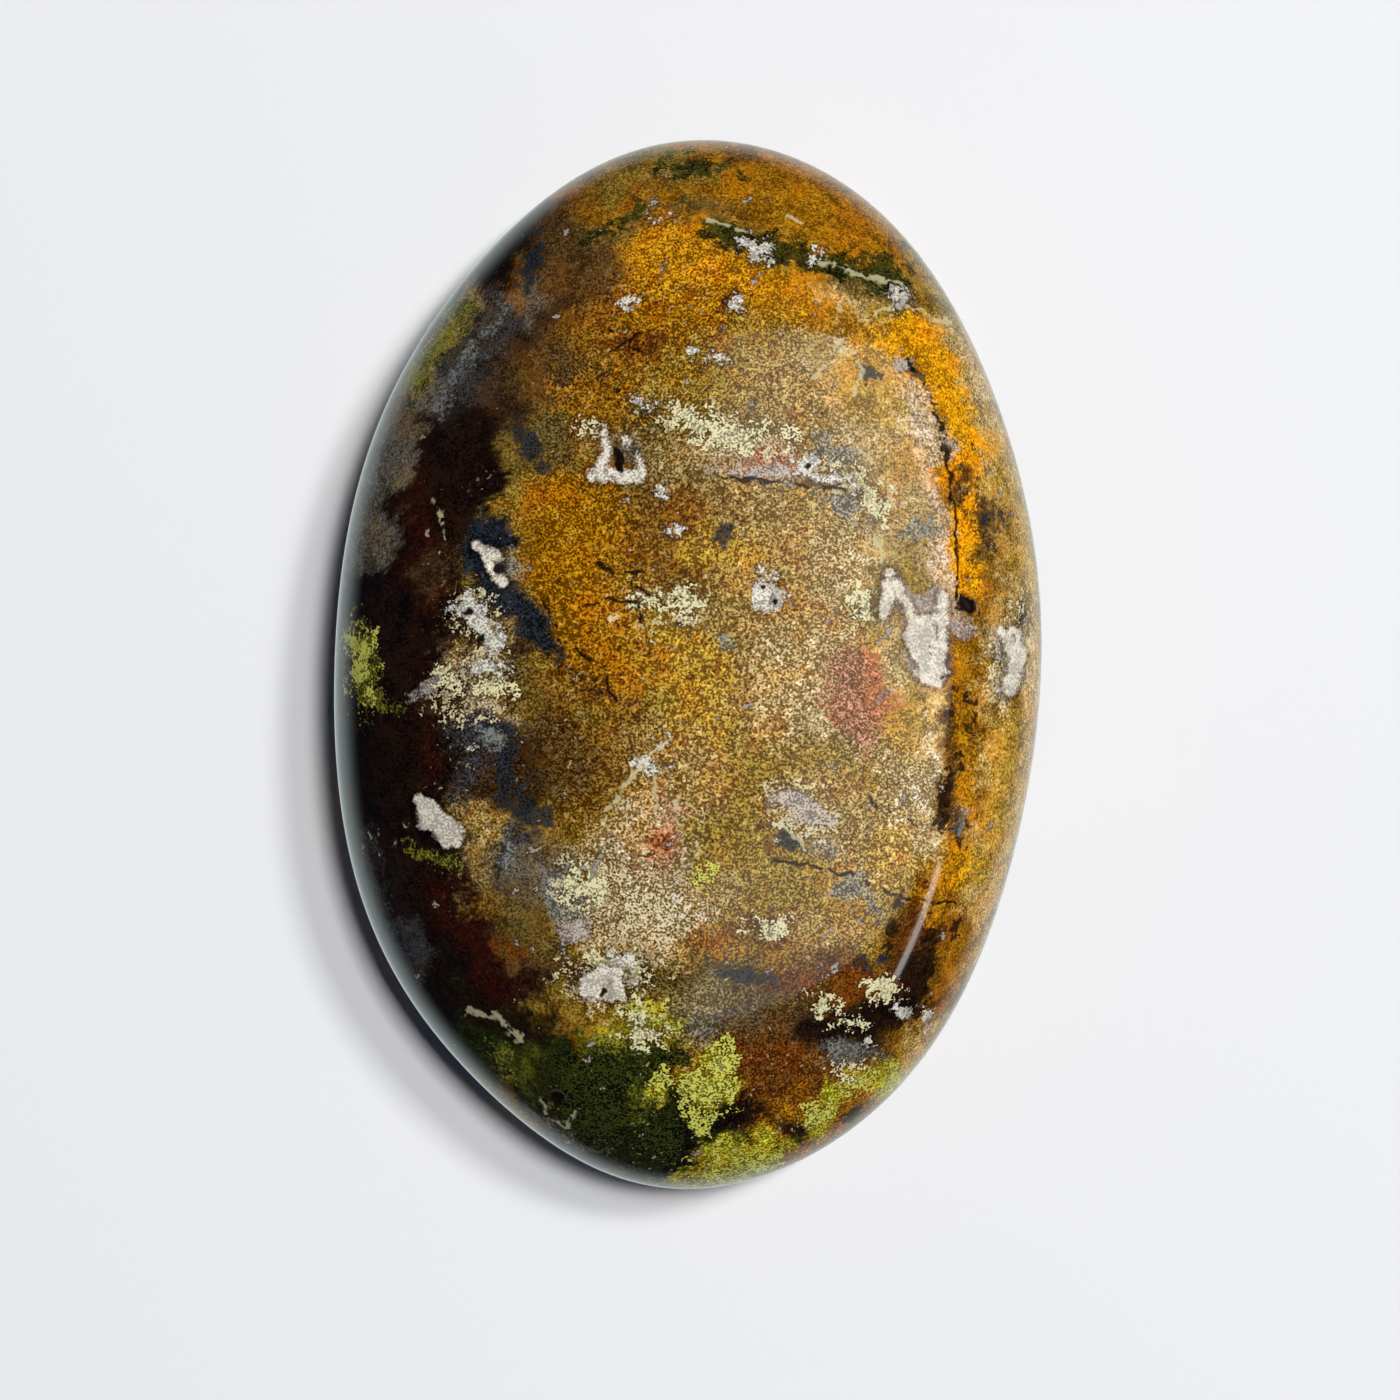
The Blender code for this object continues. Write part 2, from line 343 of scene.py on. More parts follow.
# The minerals, from the lowest layer to the highest: for each, its marks
MARKS = {
    "ochre": {
        "left_patch": blot(585, 540, 43, 54, 0),
        "left_patch_low": blot(600, 620, 45, 50, -20),
        "middle_patch": blot(628, 660, 42, 30, 15),
        "brown_field": blot(600, 400, 40, 28, 10),
        "small_patch": blot(724, 945, 20, 14, 0),
    },
    "vivid": {
        "top_patch": blot(672, 252, 44, 30, 0),
        "top_band": band(36, (722, 270), (770, 288), (812, 312), (850, 325)),
        "ring_low": band(26, (958, 842), (945, 875), (930, 905)),
        "ring_strip": band(14, (956, 650), (962, 700), (966, 760), (966, 820)),
    },
    "orange": {
        "shoulder": blot(908, 338, 26, 18, 30),
        "ring_high": band(28, (922, 345), (940, 375), (952, 408), (968, 442)),
        "ring_middle": band(13, (965, 505), (967, 560), (968, 596)),
        "tongue": band(10, (962, 845), (970, 860), (962, 880)),
    },
    "gold": {
        "cracked": blot(905, 722, 22, 34, 5),
        "lower": blot(895, 860, 26, 34, -15),
        "veil_high": blot(872, 385, 30, 44, -20),
        "middle_strip": blot(720, 545, 44, 20, 10),
        "rim_high": band(22, (998, 445), (1009, 485), (1018, 560)),
        "rim_low": band(26, (1012, 700), (1005, 790), (980, 880)),
    },
    "salmon": {
        "right_patch": blot(857, 697, 32, 48, -6),
        "pink_band": blot(765, 456, 30, 10, 8),
        "lower_tint": blot(668, 840, 14, 30, 5),
    },
    "rust": {
        "lower_right": blot(903, 940, 13, 22, 18),
        "round_cream": band(22, (835, 1002), (865, 978), (905, 985)),
        "bottom": blot(768, 1068, 36, 20, 8),
        "upper": blot(640, 344, 30, 14, 5),
        "left_low": blot(506, 946, 15, 10, 30),
        "purple_spot": blot(733, 302, 12, 10, 0),
    },
    "soot": {
        "ring_blotch": band(13, (944, 778), (947, 800), (945, 820)),
        "ring_tail": band(8, (950, 812), (958, 828), (962, 842)),
        "ring_spot_high": blot(958, 690, 4, 5, 0),
        "ring_spot_side": blot(966, 699, 4, 5, 20),
        "ring_spot_left": blot(951, 712, 4, 5, 0),
        "ring_spot_long": blot(963, 724, 9, 4, 35),
        "ring_spot_low": blot(957, 762, 5, 5, 0),
        "left_core": band(34, (470, 425), (440, 480), (455, 530)),
        "left_side": band(44, (395, 600), (398, 690), (395, 800), (410, 900)),
        "lower_right": band(30, (812, 1030), (860, 1025), (905, 1000), (925, 965)),
        "ear": blot(893, 930, 4, 22, 12),
        "bottom_left": blot(480, 1010, 34, 14, 25),
        "dash": blot(960, 920, 3, 9, 30),
        "bottom_black": blot(734, 1115, 20, 12, 0),
        "bottom_black_left": blot(678, 1140, 9, 16, 10),
        "bottom_left_high": blot(524, 1034, 18, 9, 20),
        "bottom_black_small": blot(794, 1131, 11, 9, 0),
        "rim_black": blot(855, 1112, 12, 4, -40),
        "shoulder_hole": blot(967, 606, 10, 11, 10),
    },
    "forest": {
        "bottom": blot(594, 1096, 38, 48, -25),
        "bottom_right": blot(664, 1142, 20, 22, 0),
        "top": blot(693, 167, 32, 10, 4),
        "top_band": band(24, (712, 228), (745, 240), (785, 252), (830, 262), (868, 276), (900, 286)),
        "top_band_wide": blot(885, 272, 26, 14, 30),
        "top_left_band": band(10, (580, 240), (610, 228), (640, 212)),
        "under_cream": blot(676, 1056, 16, 10, 10),
    },
    "navy": {
        "left_band": band(26, (494, 528), (482, 560), (504, 596), (528, 620), (548, 644)),
        "left_curve": band(13, (478, 738), (496, 723), (520, 728)),
        "left_drop": blot(505, 768, 12, 28, -6),
        "left_low": blot(530, 812, 17, 20, 20),
        "triangle": blot(532, 264, 9, 24, 10),
        "middle_spot": blot(750, 420, 10, 6, 10),
        "middle_smear": blot(677, 628, 20, 7, -12),
        "right_spot": blot(869, 372, 9, 10, 0),
        "druse_shade": blot(790, 838, 15, 11, 40),
        "low_spot": blot(867, 962, 11, 7, 25),
        "rim_spot": blot(988, 520, 7, 11, 0),
        "rim_spot_side": blot(1003, 522, 4, 8, 0),
        "purple_hole": blot(917, 370, 13, 6, 38),
        "rim_spot_low": blot(1021, 619, 7, 10, 0),
        "mid_bit": blot(727, 535, 7, 9, -20),
        "cream_gap": band(7, (462, 625), (480, 640), (488, 655)),
        "low_middle": blot(746, 974, 20, 8, 5),
        "left_grain": blot(530, 445, 10, 26, -30),
    },
    "moss": {
        "left_edge": blot(364, 668, 12, 38, -6),
        "left_tail": band(8, (378, 700), (398, 713)),
        "upper_left_edge": band(20, (466, 306), (444, 336), (416, 376)),
        "bottom_left": blot(506, 1060, 8, 14, -38),
        "leaf_speckle": blot(606, 1040, 18, 8, 10),
        "left_low_edge": band(8, (414, 850), (432, 856), (452, 868)),
        "pale_top": blot(680, 147, 18, 6, 0),
    },
    "lime": {
        "left": blot(661, 1080, 9, 7, -30),
        "middle_high": blot(722, 1062, 11, 18, 12),
        "middle": blot(706, 1092, 24, 16, 10),
        "middle_low": blot(701, 1116, 9, 12, 0),
        "low": blot(742, 1162, 26, 7, 0),
        "right": blot(816, 1116, 12, 12, -40),
        "right_high": band(8, (846, 1088), (868, 1076), (892, 1066)),
        "under_white": blot(648, 1022, 26, 15, 20),
        "specks": blot(708, 876, 9, 6, 0),
        "left_edge": blot(362, 660, 7, 22, -6),
    },
    "smoke": {
        "band_end": blot(836, 453, 24, 13, 10),
        "band_low": blot(843, 502, 26, 14, 25),
        "star_glow": blot(632, 458, 8, 15, -15),
        "band_glow": blot(512, 566, 14, 12, 20),
        "glow": blot(492, 738, 12, 8, 20),
        "left_streak": band(8, (474, 346), (455, 378), (440, 410)),
        "left_streak_high": band(5, (514, 298), (500, 316), (488, 330)),
        "crack_side": band(8, (858, 880), (868, 898), (877, 914)),
        "lower_left": blot(567, 905, 20, 34, -25),
        "druse_side": blot(820, 846, 15, 7, 15),
        "middle_spot": blot(727, 644, 7, 8, 0),
        "ring_nodule": blot(960, 824, 6, 13, 0),
        "low_nodules": blot(850, 1052, 24, 9, 0),
        "right_spots": blot(920, 530, 14, 10, 30),
        "purple": blot(506, 852, 8, 14, 10),
        "grey_green": blot(845, 888, 16, 13, 10),
        "rim_pale": blot(1014, 656, 10, 30, 12),
    },
    "frost": {
        "cluster": band(32, (474, 612), (484, 645), (488, 684)),
        "cluster_low": blot(464, 702, 26, 13, 10),
        "upper": band(26, (676, 412), (712, 432), (775, 436)),
        "middle": blot(668, 605, 32, 17, -8),
        "right": blot(868, 606, 20, 13, 10),
        "band_tip": band(26, (842, 474), (872, 492), (884, 514)),
        "diamond": blot(608, 972, 40, 30, -10),
        "low_left": blot(588, 884, 28, 22),
        "low_middle": blot(648, 922, 34, 24, -20),
        "druse": blot(800, 810, 32, 20, 30),
        "rim": blot(1014, 658, 20, 40, 10),
    },
    "lilac": {
        "right_field": band(22, (896, 594), (914, 606), (936, 608)),
        "right_big": blot(926, 650, 20, 32, 6),
        "purple_edge": blot(904, 366, 9, 7, 30),
        "druse": band(22, (780, 795), (800, 808), (824, 820)),
        "pink_band": blot(772, 473, 40, 8, 5),
        "lip": band(10, (946, 618), (960, 628), (976, 631)),
        "blue_white": blot(574, 930, 12, 10, 20),
        "wedge": band(8, (410, 699), (422, 691), (436, 680)),
    },
    "cream": {
        "upper": blot(688, 416, 16, 11, 45),
        "upper_long": band(22, (700, 426), (722, 437), (746, 441)),
        "upper_end": blot(766, 430, 20, 9, 10),
        "upper_left": blot(587, 427, 8, 4, 0),
        "band_tip": band(17, (855, 478), (872, 494), (883, 514)),
        "middle": blot(654, 604, 14, 8, -10),
        "middle_right": blot(683, 600, 12, 9, 10),
        "right": blot(870, 606, 18, 12, 20),
        "lower_left": blot(584, 886, 19, 18, 0),
        "lower": blot(768, 928, 16, 8, 0),
        "lower_mid": blot(632, 970, 11, 20, -10),
        "nugget": blot(883, 990, 14, 11, 15),
        "nugget_small": blot(821, 1003, 7, 5, 0),
        "nugget_band": band(5, (834, 1022), (848, 1018), (862, 1022)),
        "speckled": blot(446, 680, 11, 9, 20),
        "speckled_low": blot(488, 690, 16, 9, 8),
        "white_side": band(20, (592, 968), (614, 962), (638, 978)),
        "lime_pale": blot(646, 1030, 19, 10, 20),
        "small_rim": blot(845, 1068, 9, 5, 0),
    },
    "white": {
        "cluster_high": blot(468, 606, 13, 8, 20),
        "cluster": band(18, (470, 608), (482, 624), (494, 642)),
        "cluster_low": blot(492, 668, 13, 6, 20),
        "right_low": blot(932, 664, 9, 14, 0),
        "top": blot(757, 249, 15, 6, 14),
        "top_dot": blot(817, 254, 6, 6, 0),
        "shoulder_dot": blot(899, 298, 9, 7, 20),
        "band_speckle": band(9, (800, 473), (825, 479), (850, 482)),
        "band_vug": blot(807, 464, 10, 6, 10),
        "diamond": blot(603, 987, 24, 17, -10),
        "diamond_high": blot(622, 964, 17, 9, -20),
        "low_dot": blot(927, 1018, 8, 9, 0),
        "low_dot_left": blot(902, 1014, 5, 6, 0),
        "low_fleck": blot(870, 1041, 6, 4, 0),
        "rim_white": blot(1014, 662, 7, 24, 14),
        "rim_dot": blot(996, 645, 4, 6, 0),
        "sparkle_one": blot(690, 352, 6, 3, 20),
        "sparkle_two": blot(714, 356, 7, 3, -10),
        "dash": blot(633, 401, 8, 3, 20),
        "dot": blot(660, 493, 6, 7, 0),
        "small_dot": blot(468, 748, 4, 4, 0),
        "druse_ring": blot(768, 594, 18, 18, 0),
        "pink_bit": blot(660, 744, 8, 5, -50),
        "pink_bit_low": blot(646, 764, 8, 4, 20),
        "top_druse": blot(658, 216, 7, 4, 0),
        "pink_dot": blot(626, 304, 8, 5, 0),
        "purple_dot": blot(738, 305, 6, 5, 0),
        "orange_dot": blot(676, 528, 7, 6, 0),
    },
    "milk": {
        "star_arm": band(9, (604, 430), (607, 450), (600, 468)),
        "star_base": band(13, (594, 476), (616, 475), (638, 477)),
        "star_back": band(5, (624, 440), (636, 452), (642, 468)),
        "band_halo": band(9, (477, 546), (488, 551), (499, 558)),
        "band_halo_side": band(9, (484, 552), (492, 568), (502, 582)),
        "soft_shape": band(24, (427, 810), (435, 822), (450, 834)),
        "soft_corner": blot(422, 802, 7, 6, 20),
        "diamond": blot(606, 984, 23, 17, -8),
        "right_big": band(32, (920, 632), (928, 650), (931, 668)),
        "right_edge": band(11, (942, 598), (942, 636), (940, 672)),
        "right_fleck": band(11, (889, 572), (889, 590), (884, 614)),
        "right_line": band(8, (893, 578), (904, 600), (915, 622)),
        "rim": band(15, (1011, 636), (1018, 660), (1012, 688)),
        "rim_left": band(9, (1002, 632), (1012, 640)),
    },
}

# Where the grain is coarsest
GRIT = {
    "inside": blot(700, 640, 170, 400, -4),
    "low_middle": blot(680, 930, 130, 90),
    "lower_right": blot(830, 860, 80, 150, 20),
    "cluster": blot(480, 690, 50, 190, 4),
    "bottom": blot(720, 1100, 170, 80),
}

# Dark hollows inside the open pits, and a few small dark dots: painted shade, soot black where the hollows
# lie in shade
HOLE_SHADES = {
    "crystal": blot(619, 459, 5, 15, -10),
    "band": blot(499, 569, 5, 7, -20),
    "shoulder": blot(967, 606, 6, 12, -35),
    "diamond": blot(604, 990, 3, 8, 12),
    "end": blot(557, 1100, 6, 8, 30),
    "druse_one": blot(762, 586, 3, 3),
    "druse_two": blot(775, 600, 3, 4),
    "band_vug": blot(809, 465, 4, 3),
    "ring": blot(617, 391, 3, 3),
    "ring_left": blot(572, 497, 2.5, 2.5),
    "ring_low": blot(578, 729, 2.5, 3),
    "ring_middle": blot(710, 614, 2.5, 2.5),
    "cluster": blot(468, 612, 3, 5, 40),
    "cluster_low": blot(480, 640, 4, 6, 30),
}

# Thin light veins: width in pixels and points
VEINS = {
    "tree_trunk": (5, ((838, 302), (841, 325), (839, 346))),
    "tree_left": (3, ((839, 346), (828, 362), (814, 378))),
    "tree_right": (3, ((840, 347), (857, 355), (861, 370), (853, 402), (847, 427))),
    "over_dark": (4, ((822, 262), (865, 276), (906, 286))),
    "shoulder": (2.5, ((862, 322), (893, 306), (925, 312), (952, 328))),
    "top": (3, ((787, 217), (812, 226))),
    "top_left": (3, ((708, 219), (748, 233))),
    "left": (4, ((431, 500), (441, 515), (446, 536))),
    "middle_pink": (3, ((606, 812), (642, 764), (668, 738))),
    "wiggle_one": (3, ((655, 775), (657, 800), (651, 826))),
    "wiggle_two": (3, ((681, 795), (672, 812), (688, 838), (700, 850), (690, 864))),
    "right_line": (3, ((876, 522), (883, 570), (897, 590), (915, 624))),
    "bottom_wave": (5, ((462, 1012), (487, 1014), (505, 1023), (521, 1042))),
    "end_ring": (4, ((541, 1100), (548, 1120), (566, 1126), (580, 1110))),
    "druse_line": (3, ((779, 826), (795, 836), (806, 850))),
}

# Thin dark cracks, and two dark lines painted along the edge of the softbox reflection: width in pixels and
# points
CRACKS_AND_PAINTED_EDGE_LINES = {
    "long_crack": (3, ((775, 860), (812, 866), (850, 876), (895, 895), (925, 901), (970, 905))),
    "ochre_high": (3, ((594, 562), (617, 575), (643, 570))),
    "ochre_fork": (3, ((631, 581), (648, 596))),
    "ochre_low": (3, ((584, 606), (612, 600), (637, 601), (641, 623))),
    "under_pink": (3, ((722, 477), (765, 481), (808, 486), (846, 491))),
    # Painted: a dark purple line along the edge of the softbox reflection, not a crack
    "purple": (5, ((906, 361), (921, 371), (928, 388), (936, 412), (944, 440), (951, 482))),
    "star_one": (3, ((609, 331), (641, 353))),
    "star_two": (3, ((640, 333), (612, 351))),
    "ochre_left": (3, ((545, 600), (560, 640), (600, 665), (615, 700))),
    # Painted: a dark line just outside the edge of the softbox reflection, not a crack
    "edge_high": (3, ((925, 376), (938, 425), (948, 470), (955, 512), (957, 560), (958, 600))),
    "tree_fork": (3, ((845, 402), (858, 400), (864, 385))),
    "leaf": (3, ((870, 800), (890, 812), (912, 822))),
}

FIELD_LIMIT = 24.0  # pixels
SPECKLE_DEPTH = -2.0  # pixels, so that the frost never closes up
LINE_LIMIT = 6.0  # half widths
NEAR_FADE = (7.0, 14.0)  # pixels from a line
END_FADE = 5  # pixels past the end of a line

# How far the edge of a mark wanders: share of the mark's half size, and the most in pixels
RAGGED_SHARE = 0.4
RAGGED_LIMIT = 9

# How the pattern strays from where it is drawn: wavelengths and reaches in pixels
GROUND_WANDER = ((80, 14), (26, 7))
GROUND_SCATTER = 3.5
MARK_WANDER = ((36, 4), (15, 2.5))
MARK_RAGGED = ((34, 0.6), (15, 0.5))
LINE_WANDER = ((22, 2.5),)
GRIT_WAVELENGTH = 60

# The same on the steep sides: wavelengths in metres and reaches in pixels, and the height over
# which it sets in, counted downwards
STEEP_WANDER = ((0.014, 22), (0.006, 9))
STEEP_LEVELS = (-0.018, -0.011)

# How far past the widest line clouds take over from the drawn pattern, and how unevenly: metres
HIDDEN_START = (0.0010, 0.0050)
HIDDEN_DRIFT = ((0.016, 0.0035), (0.006, 0.0012))
DRIFT_START = (0, 0.003)

# Clouds of colour on the sides, the rim and in the hollow: colour, size in metres, level
HIDDEN_CLOUDS = (
    ("ochre", 0.030, 0.0),
    ("olive", 0.022, 0.3),
    ("tan", 0.018, 0.5),
    ("soot", 0.020, 0.6),
    ("vivid", 0.014, 0.75),
)
CLOUD_EDGE = 0.35

# How rare each mineral is there: 0 covers half, and 24 nothing
HIDDEN_RARITY = {
    "ochre": 4,
    "vivid": 13,
    "soot": 11,
    "forest": 14,
    "moss": 17,
    "cream": 18,
    "smoke": 17,
    "lilac": 19,
    "white": 21,
    "rust": 12,
}
HIDDEN_MARKS = (0.012, 16)  # size in metres and depth in pixels
BROAD_WAVELENGTH = 0.0075  # metres
STONE_MIDDLE = (690, 665)  # pixels


def outline(shape, angles):
    """Points of the widest line, at an ellipse's own angles from +X."""
    points = np.stack([shape.half_width * np.cos(angles), shape.half_length * np.sin(angles)], -1)
    radii = np.linalg.norm(points, axis=-1)
    lobes = sum(height * np.cos(count * (angles - crest)) for count, height, crest in LOBES)
    return points * (1 + lobes / radii)[..., None]


def back_profile(shape, reach):
    """Share of the outline and height, where reach runs from 0 at the middle to 1 at the widest line."""
    on_foot = reach < FOOT_REACH
    angle = np.clip((reach - FOOT_REACH) / (1 - FOOT_REACH), 0, 1) * math.pi / 2
    domed = shape.foot_share + (1 - shape.foot_share) * np.sin(angle) ** (2 / shape.back_power)
    share = np.where(on_foot, shape.foot_share * reach / FOOT_REACH, domed)
    rise = (shape.height - shape.widest_level) * np.cos(angle)
    return share, shape.widest_level + rise


def quarter(steps):
    """Angles from 0 to a right angle, the first left out."""
    return [math.pi / 2 * step / steps for step in range(1, steps + 1)]


def side_profile(shape):
    """Share and height of each ring from below the widest line to the outer edge of the rim."""
    shrink = 1 - shape.rim_outer_share
    return [
        (shape.rim_outer_share + shrink * math.cos(angle), shape.widest_level * (1 - math.sin(angle)))
        for angle in quarter(SIDE_ROWS)
    ]


def hollow_profile(shape):
    """Share and height of each ring from the inner edge of the rim to the bottom of the hollow."""
    lip = shape.rim_inner_share - shape.hollow_share
    depth = shape.hollow_depth - shape.lip_rise
    rows = [(shape.rim_inner_share, 0.0)]
    for angle in quarter(LIP_ROWS):
        rows.append((shape.rim_inner_share - lip * math.sin(angle), shape.lip_rise * (1 - math.cos(angle))))
    for angle in quarter(HOLLOW_ROWS)[:-1]:
        share = shape.hollow_share * math.cos(angle) ** (2 / shape.hollow_power)
        rows.append((share, shape.lip_rise + depth * math.sin(angle)))
    return rows


def back_grid(shape):
    """The domed back as a net pulled out to the outline, so its cells are all alike, and the
    angle of each of its points."""
    across, along = np.meshgrid(
        np.linspace(-1, 1, CELLS_ACROSS + 1), np.linspace(-1, 1, CELLS_ALONG + 1), indexing="ij"
    )
    wide = np.abs(across) > np.abs(along)
    reach = np.maximum(np.abs(across), np.abs(along))
    safe_across = np.where(wide, across, 1)
    safe_along = np.where(wide | (along == 0), 1, along)
    by_across = math.pi / 4 * along / safe_across + np.where(across < 0, math.pi, 0)
    by_along = math.pi / 2 - math.pi / 4 * across / safe_along + np.where(along < 0, math.pi, 0)
    angles = np.where(wide, by_across, by_along)
    share, height = back_profile(shape, reach)
    plan = outline(shape, angles) * share[..., None]
    points = np.concatenate([plan, height[..., None]], -1)
    sink_pits(points)
    return points, angles


def sink_pits(points):
    """Lowers the points of the back that lie in a pit."""
    for (x, y), half_width, half_length, turn, depth in PITS.values():
        away = points[..., :2] - (x, y)
        across = (away[..., 0] * math.cos(turn) + away[..., 1] * math.sin(turn)) / half_width
        along = (away[..., 1] * math.cos(turn) - away[..., 0] * math.sin(turn)) / half_length
        points[..., 2] -= depth * np.sqrt(np.clip(1 - across**2 - along**2, 0, 1))


def net_edge():
    """Indices of the net's outer points, anticlockwise."""
    rows = CELLS_ALONG + 1
    east = [CELLS_ACROSS * rows + j for j in range(CELLS_ALONG)]
    north = [i * rows + CELLS_ALONG for i in range(CELLS_ACROSS, 0, -1)]
    west = list(range(CELLS_ALONG, 0, -1))
    south = [i * rows for i in range(CELLS_ACROSS)]
    return east + north + west + south


def bridge(upper, lower):
    """Faces between two rings with the same number of points."""
    count = len(upper)
    return [(upper[k], lower[k], lower[(k + 1) % count], upper[(k + 1) % count]) for k in range(count)]


def fewer_bridge(outer, inner):
    """Flat faces between a ring and one with fewer points."""
    count = len(inner)
    faces = []
    for k in range(count):
        side = [outer[(COARSER * k + step) % len(outer)] for step in range(COARSER, -1, -1)]
        faces.append((inner[k], inner[(k + 1) % count], *side))
    return faces


def stone_mesh(shape):
    """Points, faces and, for each point, how far past the widest line it lies on the surface."""
    rows = CELLS_ALONG + 1
    net, net_angles = back_grid(shape)
    points = [net.reshape(-1, 3)]
    beyond = [np.zeros(len(points[0]))]
    faces = [
        (i * rows + j, (i + 1) * rows + j, (i + 1) * rows + j + 1, i * rows + j + 1)
        for i in range(CELLS_ACROSS)
        for j in range(CELLS_ALONG)
    ]
    ring = net_edge()
    plan = outline(shape, net_angles.reshape(-1)[ring])
    last, covered = points[0][ring], np.zeros(len(ring))
    first = len(points[0])

    def add_ring(share, height):
        nonlocal last, covered, first
        placed = np.concatenate([plan * share, np.full((len(plan), 1), height)], -1)
        covered = covered + np.linalg.norm(placed - last, axis=-1)
        points.append(placed)
        beyond.append(covered)
        last = placed
        first += len(placed)
        return list(range(first - len(placed), first))

    for share, height in side_profile(shape):
        lower = add_ring(share, height)
        faces += bridge(ring, lower)
        ring = lower
    plan, last, covered = plan[::COARSER], last[::COARSER], covered[::COARSER]
    for share, height in hollow_profile(shape):
        lower = add_ring(share, height)
        faces += bridge(ring, lower) if len(ring) == len(lower) else fewer_bridge(ring, lower)
        ring = lower
    points.append(np.array([[0.0, 0.0, shape.hollow_depth]]))
    beyond.append(covered[:1] + np.linalg.norm(last[:1, :2], axis=-1))
    faces += [(ring[k], first, ring[(k + 1) % len(ring)]) for k in range(len(ring))]
    return np.concatenate(points), faces, np.concatenate(beyond)


def view_pixels(points):
    """Where each point lies in the view from above, and the pixels in a metre there."""
    half_view = VIEW_PIXELS / 2
    pixels_across = half_view / (SENSOR_WIDTH / 2 / CAMERA_LENS)
    away = points[:, :2] - CAMERA_PLACE[:2]
    cosine, sine = math.cos(CAMERA_TURN), math.sin(CAMERA_TURN)
    right = away[:, 0] * cosine + away[:, 1] * sine
    up = away[:, 1] * cosine - away[:, 0] * sine
    scale = pixels_across / (CAMERA_PLACE.z - points[:, 2])
    pixels = np.stack([half_view + right * scale, half_view - up * scale], -1)
    return pixels, scale


def run_outwards(pixels, scale, beyond):
    """Past the widest line, which hides the rest, moves the pixels on outwards, twice as far as
    the surface goes."""
    away = pixels - np.array(STONE_MIDDLE)
    length = np.linalg.norm(away, axis=-1, keepdims=True)
    return pixels + away / np.maximum(length, 1) * (beyond * scale)[:, None] * 2


class Ripples:
    """Smooth random waves over points of two or three coordinates, the same on each run."""

    def __init__(self, seed):
        self.random = np.random.default_rng(seed)

    def over(self, points, wavelength, waves=28):
        directions = self.random.normal(size=(waves, points.shape[1]))
        directions /= np.linalg.norm(directions, axis=1, keepdims=True)
        pace = 2 * math.pi / (wavelength * self.random.uniform(0.7, 1.5, waves))
        phase = self.random.uniform(0, 2 * math.pi, waves)
        total = np.zeros(len(points))
        for direction, speed, start in zip(directions, pace, phase):
            total += np.sin(points @ direction * speed + start)
        return total * math.sqrt(2 / waves) / 2

    def total(self, points, sizes):
        """Waves of each wavelength and height, added up."""
        return sum(self.over(points, wavelength) * height for wavelength, height in sizes)

    def push(self, points, sizes):
        """Moves in two directions, of each wavelength and reach, added up."""
        return sum(
            np.stack([self.over(points, wavelength), self.over(points, wavelength)], -1) * reach
            for wavelength, reach in sizes
        )


def line_distance(pixels, points):
    """Distance to a line of points, its sign by side, and how far past the line's ends."""
    best = np.full(len(pixels), np.inf)
    side = np.ones(len(pixels))
    past = np.zeros(len(pixels))
    last = len(points) - 2
    for index, (start, end) in enumerate(zip(points, points[1:])):
        start, end = np.array(start, float), np.array(end, float)
        run = end - start
        away = pixels - start
        along = away @ run / (run @ run)
        held = np.clip(along, 0, 1)
        distance = np.linalg.norm(away - held[:, None] * run, axis=1)
        nearer = distance < best
        best = np.where(nearer, distance, best)
        cross = run[0] * away[:, 1] - run[1] * away[:, 0]
        side = np.where(nearer, np.sign(cross), side)
        before = np.maximum(0, -along) if index == 0 else 0
        after = np.maximum(0, along - 1) if index == last else 0
        past = np.where(nearer, (before + after) * np.linalg.norm(run), past)
    return best, side, past


def depth_inside(pixels, mark):
    """How many pixels inside a mark each point lies, less than 0 outside it."""
    if len(mark["points"]) > 1:
        return mark["across"] - line_distance(pixels, mark["points"])[0]
    away = pixels - np.array(mark["points"][0])
    cosine, sine = math.cos(mark["turn"]), math.sin(mark["turn"])
    across = (away[:, 0] * cosine + away[:, 1] * sine) / mark["across"]
    along = (away[:, 1] * cosine - away[:, 0] * sine) / mark["along"]
    return (1 - np.hypot(across, along)) * min(mark["across"], mark["along"])


def mineral_field(pixels, marks, ragged):
    """How deep each point lies in the nearest of a mineral's marks, with ragged edges."""
    field = np.full(len(pixels), -FIELD_LIMIT)
    for mark in marks.values():
        size = min(mark["across"], mark.get("along", mark["across"]))
        reach = min(RAGGED_SHARE * size, RAGGED_LIMIT)
        field = np.maximum(field, depth_inside(pixels, mark) + ragged * reach)
    return np.clip(field, -FIELD_LIMIT, FIELD_LIMIT)


def line_fields(pixels, lines):
    """The signed distance to the nearest line in half widths, and how near its stretch is."""
    nearest = np.full(len(pixels), np.inf)
    side = np.full(len(pixels), LINE_LIMIT)
    near = np.zeros(len(pixels))
    for width, points in lines.values():
        distance, sign, past = line_distance(pixels, points)
        closer = distance < nearest
        nearest = np.where(closer, distance, nearest)
        side = np.where(closer, sign * distance * 2 / width, side)
        low, high = NEAR_FADE
        here = np.clip((high - distance) / (high - low), 0, 1) * np.clip(1 - past / END_FADE, 0, 1)
        near = np.where(closer, here, near)
    return np.clip(side, -LINE_LIMIT, LINE_LIMIT), near


def smooth(values, low, high):
    share = np.clip((values - low) / (high - low), 0, 1)
    return share * share * (3 - 2 * share)


def colour_of(colours, name):
    return np.array(getattr(colours, name))


